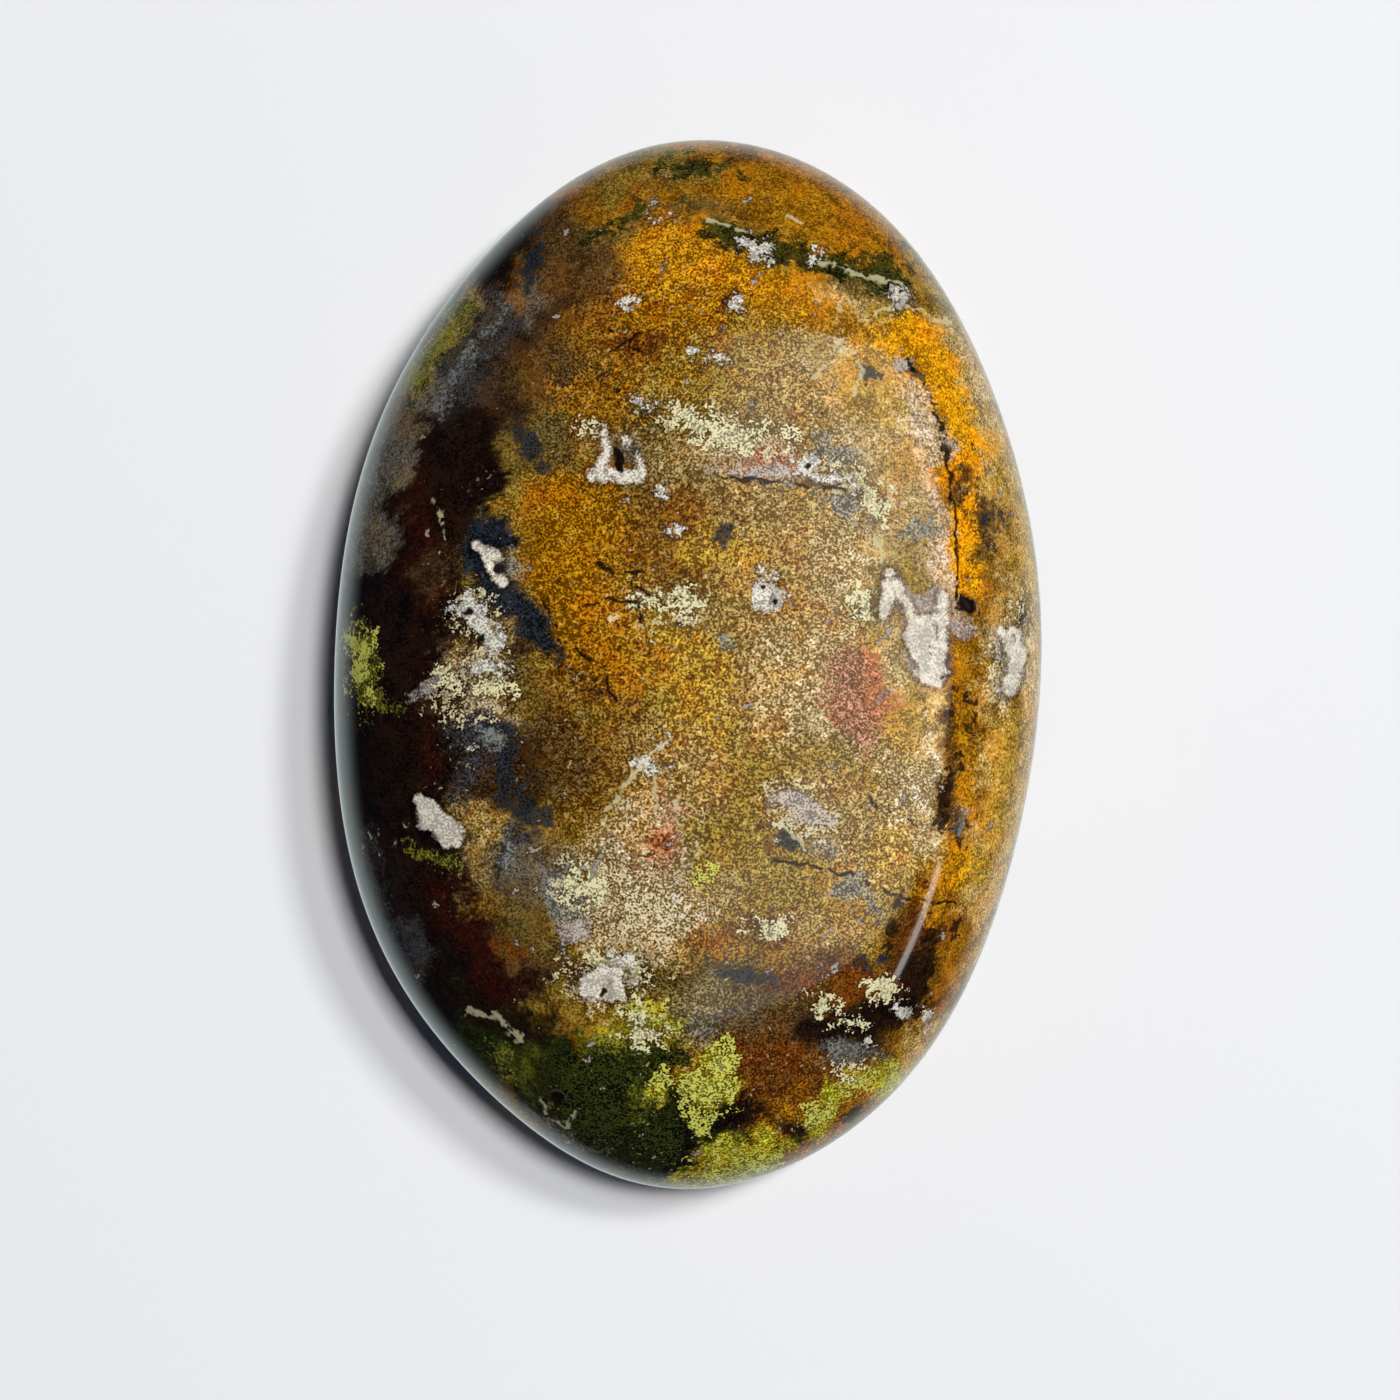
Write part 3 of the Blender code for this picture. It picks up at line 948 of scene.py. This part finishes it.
def ground_colours(pixels, points, hidden, colours):
    """The colour under the minerals: soft coats over the back, and broad clouds where the
    camera doesn't reach."""
    waves = Ripples(11)
    shifted = pixels + waves.push(pixels, GROUND_WANDER)
    shifted += waves.random.normal(size=shifted.shape) * GROUND_SCATTER
    ground = np.tile(colour_of(colours, "ochre"), (len(points), 1))
    for name, softness, mark in GROUND.values():
        depth = depth_inside(shifted, mark)
        cover = smooth(depth, -softness / 2, softness / 2)[:, None]
        ground = ground * (1 - cover) + colour_of(colours, name) * cover
    clouds = Ripples(12)
    under = np.tile(colour_of(colours, "umber"), (len(points), 1))
    for name, wavelength, level in HIDDEN_CLOUDS:
        cover = smooth(clouds.over(points, wavelength), level, level + CLOUD_EDGE)[:, None]
        under = under * (1 - cover) + colour_of(colours, name) * cover
    share = hidden[:, None]
    return ground * (1 - share) + under * share


def pattern_place(points, beyond):
    """The pixel that each point takes its pattern from, and how far clouds hide that pattern."""
    pixels, scale = view_pixels(points)
    pixels = run_outwards(pixels, scale, beyond)
    waves = Ripples(80)
    steep = smooth(-points[:, 2], *STEEP_LEVELS)[:, None]
    pixels = pixels + waves.push(points, STEEP_WANDER) * steep
    drift = waves.total(points, HIDDEN_DRIFT) * smooth(beyond, *DRIFT_START)
    return pixels, smooth(beyond + drift, *HIDDEN_START)


def lay_pattern(mesh, points, beyond, colours):
    """Writes the ground colour and each mineral's field onto the mesh."""
    pixels, hidden = pattern_place(points, beyond)
    ground = ground_colours(pixels, points, hidden, colours)
    layer = mesh.attributes.new("ground", "FLOAT_VECTOR", "POINT")
    layer.data.foreach_set("vector", ground.astype(np.float32).ravel())

    def store(name, values):
        field = mesh.attributes.new(name, "FLOAT", "POINT")
        field.data.foreach_set("value", values.astype(np.float32))

    bend = Ripples(90).push(pixels, MARK_WANDER)
    size, depth = HIDDEN_MARKS
    for index, (mineral, marks) in enumerate(MARKS.items()):
        waves = Ripples(100 + index)
        ragged = waves.total(pixels, MARK_RAGGED)
        field = mineral_field(pixels if mineral == "milk" else pixels + bend, marks, ragged)
        if mineral == "frost":
            field = np.minimum(field, SPECKLE_DEPTH)
        clouds = waves.over(points, size) * depth - HIDDEN_RARITY.get(mineral, FIELD_LIMIT)
        store(mineral, field * (1 - hidden) + np.clip(clouds, -FIELD_LIMIT, FIELD_LIMIT) * hidden)
    waves = Ripples(50)
    store("broad", waves.over(points, BROAD_WAVELENGTH))
    store("grit", mineral_field(pixels, GRIT, waves.over(pixels, GRIT_WAVELENGTH)))
    store("hole", np.where(hidden > 0, -FIELD_LIMIT, mineral_field(pixels, HOLE_SHADES, 0)))
    wobble = waves.push(pixels, LINE_WANDER)
    for name, lines in (("vein", VEINS), ("crack", CRACKS_AND_PAINTED_EDGE_LINES)):
        side, near = line_fields(pixels + wobble, lines)
        store(name + "_side", side)
        store(name + "_near", near * (1 - hidden))


class Signal:
    """A socket in a material. Python's operators on it add Math nodes."""

    def __init__(self, sheet, socket):
        self.sheet = sheet
        self.socket = socket

    def maths(self, operation, first, second):
        return self.sheet.add("Math", {"operation": operation}, {0: first, 1: second})

    def __add__(self, other):
        return self.maths("ADD", self, other)

    def __radd__(self, other):
        return self.maths("ADD", other, self)

    def __sub__(self, other):
        return self.maths("SUBTRACT", self, other)

    def __rsub__(self, other):
        return self.maths("SUBTRACT", other, self)

    def __mul__(self, other):
        return self.maths("MULTIPLY", self, other)

    def __rmul__(self, other):
        return self.maths("MULTIPLY", other, self)

    def __abs__(self):
        return self.maths("ABSOLUTE", self, 0)


class Sheet:
    """The nodes of one material, lamp or world."""

    def __init__(self, tree):
        self.tree = tree

    def add(self, kind, settings=None, sockets=None, output=0):
        """Adds a node: its type, its settings, and the values or links of its sockets."""
        node = self.tree.nodes.new("ShaderNode" + kind)
        for name, value in (settings or {}).items():
            setattr(node, name, value)
        for name, value in (sockets or {}).items():
            self.feed(node.inputs[name], value)
        if isinstance(output, tuple):
            return [Signal(self, node.outputs[each]) for each in output]
        return Signal(self, node.outputs[output])

    def feed(self, socket, value):
        if isinstance(value, Signal):
            self.tree.links.new(value.socket, socket)
        else:
            socket.default_value = value

    def field(self, name, output="Fac"):
        return self.add("Attribute", {"attribute_name": name}, output=output)

    def noise(self, place, size, detail, roughness):
        """Cloudy noise about 0 that rarely leaves -2 to 2. Its lumps are about this size in metres."""
        sockets = {"Vector": place, "Scale": 1 / size, "Detail": detail, "Roughness": roughness}
        return (self.add("TexNoise", None, sockets) - 0.5) * NOISE_GAIN

    def bent(self, place, across, along, up):
        """A place pushed about by three noises."""
        return self.plus(place, self.add("CombineXYZ", None, {0: across, 1: along, 2: up}))

    def cells(self, place, size):
        """Distance to the middle of a chip of stone as a share of its size, and three chance values
        from -0.5 to 0.5 that change from one chip to the next."""
        sockets = {"Vector": place, "Scale": 1 / size}
        distance, chance = self.add("TexVoronoi", None, sockets, output=("Distance", "Color"))
        chances = self.add("SeparateXYZ", None, {0: chance}, output=("X", "Y", "Z"))
        return distance, *(each - 0.5 for each in chances)

    def plus(self, colour, other):
        return self.add("VectorMath", {"operation": "ADD"}, {0: colour, 1: other})

    def times(self, colour, factors):
        """A colour whose red, green and blue are each made lighter or darker."""
        return self.mix(1.0, colour, factors, "MULTIPLY")

    def larger(self, first, second):
        return self.add("Math", {"operation": "MAXIMUM"}, {0: first, 1: second})

    def step(self, value, low, high):
        """0 below low, 1 above high and smooth between them."""
        sockets = {"Value": value, "From Min": low, "From Max": high}
        return self.add("MapRange", {"interpolation_type": "SMOOTHSTEP"}, sockets)

    def mask(self, noise, weights, low, high, hairline=False):
        """A step of a mixture of noises, or of how far the mixture is from 0."""
        value = mixture(noise, weights)
        return self.step(abs(value) if hairline else value, low, high)

    def mix(self, share, first, second, blend="MIX"):
        """Two colours mixed."""
        settings = {"data_type": "RGBA", "blend_type": blend}
        return self.add("Mix", settings, {0: share, 6: first, 7: second}, output=2)


NOISE_GAIN = 15  # turns the noise's usual spread into 1
POLISH = 0.07
HOLE_ROUGHNESS = 0.5

# The noises of the stone: size in metres, detail and roughness
NOISES = {
    "swirls": (0.0044, 3.0, 0.65),
    "lumps": (0.0022, 2.0, 0.75),
    "crumbs": (0.00095, 1.0, 0.85),
    "flecks": (0.00060, 2.0, 0.9),
    "grain": (0.00023, 0.0, 0.5),
}
CHIP_SIZE = 0.0019
GRAIN_SIZE = 0.00055

# Mixtures of noises, as weights: how places bend, in metres, then the grain, and two ways for
# an edge to crumble, in pixels
BENDING = {"lumps": 0.00022, "swirls": 0.00045, "crumbs": 0.00012}
FINE_GRAIN = {"crumbs": 0.25, "flecks": 0.4, "grain": 1.0, "grits": 0.7}
COARSE_GRAIN = {"lumps": 0.4, "swirls": 0.25, "chips": 1.0}
CRUMBLING = (
    {"lumps": 1.5, "crumbs": 1.2, "grits": 4.0, "grain": 0.7},
    {"flecks": 1.4, "lumps": -1.2, "bits": 4.0, "chips": 2.0},
)

# Hairlines, where a mixture is near 0: its weights, and how far from 0 they start and are full
HAIRLINES = {
    "seam": ({"swirls": 1, "crumbs": 0.12}, 0.16, 0.04),
    "crack": ({"lumps": 0.8, "swirls": -0.5, "flecks": 0.06}, 0.09, 0.02),
}

# Masks over the stone: the weights of a mixture, and where the mask starts and is full
HUE = {"swirls": 1, "broad": 0.4, "hues": 1.2}
SPOT = {"middles": 1, "crumbs": 0.03, "chips": 0.10}
MASKS = {
    "warm": (HUE, 0.2, 1.5),
    "cool": (HUE, -0.3, -1.6),
    "seamed": ({"broad": 1, "lumps": 0.6}, 0.1, 0.9),
    "cracked": ({"chips": 1, "broad": -0.25}, 0.1, 0.3),
    "dark": ({"flecks": 1, "lumps": 0.8, "broad": -0.3}, 1.1, 2.0),
    "round": ({"dots": 1}, 0.42, 0.22),
    # Tiny pits, drawn as dark round dots: painted shade
    "pit": ({"grits": 1, "chips": 0.3, "gritty": 0.06}, 0.40, 0.44),
    # Sparkling grains: painted glints
    "spark": ({"bits": 1, "hues": 0.3, "gritty": -0.06}, -0.40, -0.45),
    "pale": ({"crumbs": 1, "flecks": -1, "swirls": -0.4}, 1.5, 2.8),
    "rare": ({"specks": 1, "hues": -0.2}, 0.31, 0.37),
    "dust": ({"dots": 1}, 0.36, 0.18),
    "spotted": ({"hues": 1}, 0.35, 0.37),
    "spot_ring": (SPOT, 0.30, 0.20),
    "spot_core": ({**SPOT, "grain": 0.03}, 0.17, 0.10),
    "unbroken": ({"lumps": 1, "grits": 1.5}, -1.3, -0.1),
}

# How much of the colour each mask or hairline covers at most
COVER = {
    "warm": 0.6,
    "cool": 0.5,
    "seam": 0.7,
    "crack": 0.85,
    "dark": 0.85,
    "pale": 0.7,
    "spark": 0.9,
    "dust": 0.6,
    "spot_ring": 0.75,
    "spot_core": 0.8,
}

# The strength of the fine grain and of the flecks: the least, and how much more in coarse grit
GRAIN_STRENGTH = (0.5, 0.75)
FLECK_STRENGTH = (0.5, 0.45)
GRITTY = (-20, 20)  # pixels inside the coarse grit

# The tones at which the grain is darkest and palest, in the stone and in the minerals over it
STONE_TONES = (-2.4, 2.4)
MINERAL_TONES = (-2.2, 2.2)

# Factors on the colour: of the darkest and palest grains, the deepest flecks, the warm and cool
# clouds, and the lit grains, which also get a little added: pale flecks, and painted glints on sparkling
# grains
DARK_GRAIN = (0.45, 0.34, 0.14, 1)
PALE_GRAIN = (1.70, 1.82, 2.20, 1)
DEEP = (0.26, 0.16, 0.06, 1)
WARM = (1.12, 0.80, 0.35, 1)
COOL = (0.70, 0.76, 0.82, 1)
LIT = (1.7, 1.9, 3.0, 1)
LIT_MORE = (0.010, 0.008, 0.004)

# Drawn lines: their colour and cover, what their edges and ends are made of, and their limits
LINE_COATS = {"crack": ("soot", 0.95), "vein": ("cream", 0.6)}
LINE_EDGE = ({"side": 1, "crumbs": 0.3, "grits": 0.6}, 1.8, 0.6)
LINE_END = ({"near": 1, "lumps": 0.15}, 0.2, 0.8)

HOLE_EDGE = ({"hole": 1, "crumbs": 0.6}, -0.8, 1.2)
DARK_RING = (-9, -2)  # pixels round a mark

# The minerals in the ground: softness of the edge in pixels, how far it crumbles, and cover
STONE_COATS = {
    "ochre": (8, 1.6, 0.70),
    "vivid": (8, 1.6, 0.90),
    "orange": (8, 1.5, 0.92),
    "gold": (10, 1.6, 0.80),
    "salmon": (12, 1.6, 0.90),
    "rust": (8, 1.6, 0.90),
}

# The minerals over it: the same, then the dark line round it, and the lightness of the darkest
# and palest grains
COATS = {
    "soot": (3, 1.3, 0.94, 0.0, 0.30, 2.50),
    "forest": (4, 1.3, 0.90, 0.0, 0.15, 2.60),
    "navy": (4, 1.3, 0.90, 0.0, 0.40, 2.20),
    "moss": (4, 1.6, 0.88, 0.0, 0.20, 1.90),
    "lime": (5, 2.0, 0.90, 0.4, 0.30, 1.70),
    "smoke": (10, 1.4, 0.65, 0.0, 0.40, 1.70),
    "frost": (6, 2.2, 0.85, 0.0, 0.45, 1.40),
    "lilac": (8, 1.0, 0.80, 0.3, 0.50, 1.40),
    "cream": (4, 1.6, 0.92, 0.5, 0.40, 1.30),
    "white": (4, 1.3, 0.92, 0.6, 0.50, 1.20),
    "milk": (5, 0.25, 0.96, 0.6, 0.65, 1.25),
}


def shade(colours, name, lightness=1.0):
    """A colour of the palette, lighter or darker, for a socket."""
    return (*[min(1.0, part * lightness) for part in getattr(colours, name)], 1.0)


def mixture(noise, weights):
    """Noises added up, each with its weight."""
    first, *others = (
        noise[name] if weight == 1 else noise[name] * weight for name, weight in weights.items()
    )
    return sum(others, first)


def stronger(noise, least, more):
    """A strength that grows with the grit."""
    return noise["gritty"] * more + least


def stone_noise(sheet):
    """Every noise of the stone by name, and the two fields of the mesh that act like one."""
    place = sheet.add("TexCoord", output="Object")
    noise = {name: sheet.noise(place, *values) for name, values in NOISES.items()}
    bent = sheet.bent(place, *(noise[name] * reach for name, reach in BENDING.items()))
    noise["middles"], noise["chips"], noise["hues"], _ = sheet.cells(bent, CHIP_SIZE)
    noise["dots"], noise["grits"], noise["bits"], noise["specks"] = sheet.cells(bent, GRAIN_SIZE)
    noise["broad"] = sheet.field("broad")
    noise["gritty"] = sheet.step(sheet.field("grit"), *GRITTY)
    return noise


def stone_material(colours):
    material = bpy.data.materials.new("polished_opal")
    material.use_nodes = True
    sheet = Sheet(material.node_tree)
    noise = stone_noise(sheet)
    mask = {name: sheet.mask(noise, *values) for name, values in MASKS.items()}
    tone = mixture(noise, COARSE_GRAIN) + mixture(noise, FINE_GRAIN) * stronger(noise, *GRAIN_STRENGTH)
    colour = sheet.field("ground", "Color")
    colour = stone_coats(sheet, colours, noise, colour)
    colour = grain_coat(sheet, mask, tone, colour)
    colour = fleck_coat(sheet, colours, noise, mask, colour)
    colour = mineral_coats(sheet, colours, noise, tone, colour)
    colour = spot_coat(sheet, colours, mask, colour)
    colour = line_coats(sheet, colours, noise, mask, colour)
    # Painted shade in the holes: soot black, and a rougher surface there
    hole = sheet.mask({**noise, "hole": sheet.field("hole")}, *HOLE_EDGE)
    colour = sheet.mix(hole, colour, shade(colours, "soot"))
    shader = material.node_tree.nodes["Principled BSDF"]
    sheet.feed(shader.inputs["Base Color"], colour)
    sheet.feed(shader.inputs["Roughness"], hole * HOLE_ROUGHNESS + POLISH)
    return material


def stone_coats(sheet, colours, noise, colour):
    """Mixes the stone's own minerals into the ground colour."""
    edges = [mixture(noise, weights) for weights in CRUMBLING]
    for index, (mineral, (softness, crumble, cover)) in enumerate(STONE_COATS.items()):
        depth = sheet.field(mineral) + edges[index % 2] * crumble
        share = sheet.step(depth, -softness / 2, softness / 2) * cover
        colour = sheet.mix(share, colour, shade(colours, mineral))
    return colour


def grain_coat(sheet, mask, tone, colour):
    """Light and dark grain with warm and cool clouds."""
    share = sheet.step(tone, *STONE_TONES)
    colour = sheet.times(colour, sheet.mix(share, DARK_GRAIN, PALE_GRAIN))
    for name, factors in (("warm", WARM), ("cool", COOL)):
        colour = sheet.mix(mask[name] * COVER[name], colour, sheet.times(colour, factors))
    return colour


def fleck_coat(sheet, colours, noise, mask, colour):
    """Seams, cracks, dark and pale flecks, tiny pits painted dark as shade, glints painted on sparkling
    grains, and dust.
    """
    hairline = {name: sheet.mask(noise, *values, hairline=True) for name, values in HAIRLINES.items()}
    strength = stronger(noise, *FLECK_STRENGTH)
    deep = sheet.times(colour, DEEP)
    for share, cover in (
        (hairline["seam"] * mask["seamed"], COVER["seam"]),
        (hairline["crack"] * mask["cracked"], COVER["crack"]),
        (mask["dark"], strength * COVER["dark"]),
        # tiny pits: painted shade
        (mask["pit"] * mask["round"], strength),
    ):
        colour = sheet.mix(share * cover, colour, deep)
    # Lit grains: pale flecks, and painted glints on sparkling grains
    lit = sheet.plus(sheet.times(colour, LIT), LIT_MORE)
    spark = mask["spark"] * mask["round"] * COVER["spark"]
    colour = sheet.mix(sheet.larger(mask["pale"] * COVER["pale"], spark) * strength, colour, lit)
    dust = mask["rare"] * mask["dust"] * noise["gritty"] * COVER["dust"]
    return sheet.mix(dust, colour, shade(colours, "bone"))


def mineral_coats(sheet, colours, noise, tone, colour):
    """Lays each mineral over the last, its edges crumbling into the ground."""
    edges = [mixture(noise, weights) for weights in CRUMBLING]
    share = sheet.step(tone, *MINERAL_TONES)
    for index, (mineral, coat) in enumerate(COATS.items()):
        softness, crumble, cover, ring, dark, pale = coat
        own = sheet.mix(share, shade(colours, mineral, dark), shade(colours, mineral, pale))
        depth = sheet.field(mineral) + edges[index % 2] * crumble
        if ring:
            near = sheet.step(depth, *DARK_RING) * ring
            colour = sheet.mix(near, colour, sheet.times(colour, DEEP))
        colour = sheet.mix(sheet.step(depth, -softness / 2, softness / 2) * cover, colour, own)
    return colour


def spot_coat(sheet, colours, mask, colour):
    """Small grey rings round a bright grain, in one chip of stone out of seven."""
    for name, mineral in (("spot_ring", "umber"), ("spot_core", "lilac")):
        share = mask[name] * mask["spotted"] * COVER[name]
        colour = sheet.mix(share, colour, shade(colours, mineral))
    return colour


def line_coats(sheet, colours, noise, mask, colour):
    """Thin dark cracks with the dark lines painted along the edge of the softbox reflection, then thin
    light veins.
    """
    for name, (mineral, cover) in LINE_COATS.items():
        fields = {"side": sheet.field(name + "_side"), "near": sheet.field(name + "_near")}
        edge = sheet.mask({**noise, **fields}, *LINE_EDGE, hairline=True)
        line = edge * sheet.mask({**noise, **fields}, *LINE_END) * mask["unbroken"]
        colour = sheet.mix(line * cover, colour, shade(colours, mineral))
    return colour


class OPALDISH_OT_polished_stone(bpy.types.Operator):
    """Make the polished stone"""

    bl_idname = "opaldish.polished_stone"
    bl_label = "Polished stone"

    def execute(self, context):
        scene = context.scene
        points, faces, beyond = stone_mesh(scene.opal_dish_shape)
        mesh = bpy.data.meshes.new("polished_stone")
        mesh.from_pydata(points.tolist(), [], faces)
        mesh.shade_smooth()
        lay_pattern(mesh, points, beyond, scene.opal_dish_colours)
        stone = link_object(context, "polished_stone", mesh)
        mesh.materials.append(stone_material(scene.opal_dish_colours))
        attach(stone, "root")
        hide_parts("trinket_dish")
        return {"FINISHED"}


def link_object(context, name, data):
    made = bpy.data.objects.new(name, data)
    context.scene.collection.objects.link(made)
    return made


def make_camera(context):
    data = bpy.data.cameras.new("camera")
    data.sensor_width = SENSOR_WIDTH
    data.lens = CAMERA_LENS
    data.clip_start = 0.01
    data.clip_end = 20
    camera = link_object(context, "camera", data)
    camera.location = CAMERA_PLACE
    camera.rotation_euler = (0, 0, CAMERA_TURN)
    context.scene.camera = camera


# The softbox that the polish reflects, seen from above, and how it fades out towards -X
SOFTBOX_HEIGHT = 0.80
SOFTBOX_CORNERS = ((-0.45, -0.58), (1.20, -0.56), (1.62, 1.12), (-0.20, 0.36))
SOFTBOX_FADE = (-0.04, 0.10)
SOFTBOX_GLOW = 1.0

# Soft lamps: azimuth and elevation, reach, size, watts
LAMPS = {
    "key": (math.radians(34), math.radians(74.5), 2.0, (0.36, 0.36), 26),
    "second": (math.radians(36), math.radians(58), 2.0, (0.30, 0.30), 16),
    "strip": (math.radians(-26.5), math.radians(20), 1.0, (0.27, 0.060), 0.28),
}

# What the polish reflects: a dark room above, and a pale floor only where it looks steeply down
SKY_COLOUR = (0.010, 0.022, 0.040, 1)
GROUND_COLOUR = (0.72, 0.82, 0.82, 1)
GROUND_BAND = (math.radians(-20), math.radians(-48))
FLOOR_HALF_SIZE = 3.0
FLOOR_COLOUR = (0.86, 0.86, 0.87, 1)
BACKDROP_RADIUS = 2.9
BACKDROP_HEIGHT = 1.6
BACKDROP_POINTS = 48


def make_softbox(context):
    """A glowing panel that shows in the polish and lights nothing else."""
    mesh = bpy.data.meshes.new("softbox")
    corners = [(x, y, SOFTBOX_HEIGHT) for x, y in SOFTBOX_CORNERS]
    mesh.from_pydata(corners, [], [tuple(reversed(range(len(corners))))])
    softbox = link_object(context, "softbox", mesh)
    softbox.visible_diffuse = False
    softbox.visible_shadow = False
    material = bpy.data.materials.new("softbox_glow")
    material.use_nodes = True
    material.node_tree.nodes.clear()
    sheet = Sheet(material.node_tree)
    place = sheet.add("TexCoord", output="Object")
    across = sheet.add("SeparateXYZ", None, {0: place}, output="X")
    fade = sheet.step(across, *SOFTBOX_FADE)
    glow = sheet.add("Emission", None, {"Color": fade, "Strength": SOFTBOX_GLOW})
    out = material.node_tree.nodes.new("ShaderNodeOutputMaterial")
    sheet.feed(out.inputs["Surface"], glow)
    mesh.materials.append(material)


def make_lamps(context):
    for name, (azimuth, elevation, reach, size, watts) in LAMPS.items():
        data = bpy.data.lights.new(name, "AREA")
        data.shape = "RECTANGLE"
        data.size, data.size_y = size
        data.energy = watts
        lamp = link_object(context, name, data)
        level = reach * math.cos(elevation)
        place = (level * math.cos(azimuth), level * math.sin(azimuth), reach * math.sin(elevation))
        lamp.location = place
        lamp.rotation_euler = (-Vector(place)).to_track_quat("-Z", "Y").to_euler()
        lamp.visible_glossy = name == "strip"


def make_world(context):
    world = bpy.data.worlds.new("studio")
    world.use_nodes = True
    sheet = Sheet(world.node_tree)
    direction = sheet.add("TexCoord", output="Generated")
    rise = sheet.add("SeparateXYZ", None, {0: direction}, output="Z")
    high, low = (math.sin(angle) for angle in GROUND_BAND)
    around = sheet.mix(sheet.step(rise, low, high), GROUND_COLOUR, SKY_COLOUR)
    sheet.feed(world.node_tree.nodes["Background"].inputs["Color"], around)
    context.scene.world = world


def pale_material():
    material = bpy.data.materials.new("pale_floor")
    material.use_nodes = True
    shader = material.node_tree.nodes["Principled BSDF"]
    shader.inputs["Base Color"].default_value = FLOOR_COLOUR
    shader.inputs["Roughness"].default_value = 0.9
    shader.inputs["Specular IOR Level"].default_value = 0.0
    return material


def make_floor(context):
    """The floor, and a round wall that only the camera sees. The polish reflects neither."""
    half = FLOOR_HALF_SIZE
    material = pale_material()
    mesh = bpy.data.meshes.new("floor")
    corners = [(-half, -half, 0), (half, -half, 0), (half, half, 0), (-half, half, 0)]
    mesh.from_pydata(corners, [], [(0, 1, 2, 3)])
    mesh.materials.append(material)
    floor = link_object(context, "floor", mesh)
    floor.visible_glossy = False

    count = BACKDROP_POINTS
    turns = [2 * math.pi * step / count for step in range(count)]
    circle = [(BACKDROP_RADIUS * math.cos(turn), BACKDROP_RADIUS * math.sin(turn)) for turn in turns]
    mesh = bpy.data.meshes.new("backdrop")
    points = [(x, y, 0) for x, y in circle] + [(x, y, BACKDROP_HEIGHT) for x, y in circle]
    mesh.from_pydata(points, [], bridge(range(count), range(count, 2 * count)))
    mesh.shade_smooth()
    mesh.materials.append(material)
    backdrop = link_object(context, "backdrop", mesh)
    backdrop.visible_glossy = False
    backdrop.visible_diffuse = False
    backdrop.visible_shadow = False


class OPALDISH_OT_stage(bpy.types.Operator):
    """Make the floor, the lights and the camera"""

    bl_idname = "opaldish.stage"
    bl_label = "Stage"

    def execute(self, context):
        context.scene.view_settings.view_transform = "Standard"
        make_floor(context)
        make_softbox(context)
        make_lamps(context)
        make_world(context)
        make_camera(context)
        return {"FINISHED"}


class OPALDISH_PT_panel(bpy.types.Panel):
    bl_idname = "OPALDISH_PT_panel"
    bl_label = "Opal Dish"
    bl_space_type = "VIEW_3D"
    bl_region_type = "UI"
    bl_category = "Opal Dish"

    def draw(self, context):
        for maker in (OPALDISH_OT_polished_stone, OPALDISH_OT_stage):
            self.layout.operator(maker.bl_idname)


CLASSES = (
    DishShape,
    StoneColours,
    OPALDISH_OT_polished_stone,
    OPALDISH_OT_stage,
    OPALDISH_PT_panel,
)


def register():
    for made in CLASSES:
        bpy.utils.register_class(made)
    bpy.types.Scene.opal_dish_shape = bpy.props.PointerProperty(type=DishShape)
    bpy.types.Scene.opal_dish_colours = bpy.props.PointerProperty(type=StoneColours)


def unregister():
    del bpy.types.Scene.opal_dish_colours
    del bpy.types.Scene.opal_dish_shape
    for made in reversed(CLASSES):
        bpy.utils.unregister_class(made)


def main():
    register()
    bpy.ops.opaldish.polished_stone()
    bpy.ops.opaldish.stage()


if __name__ == "__main__":
    main()
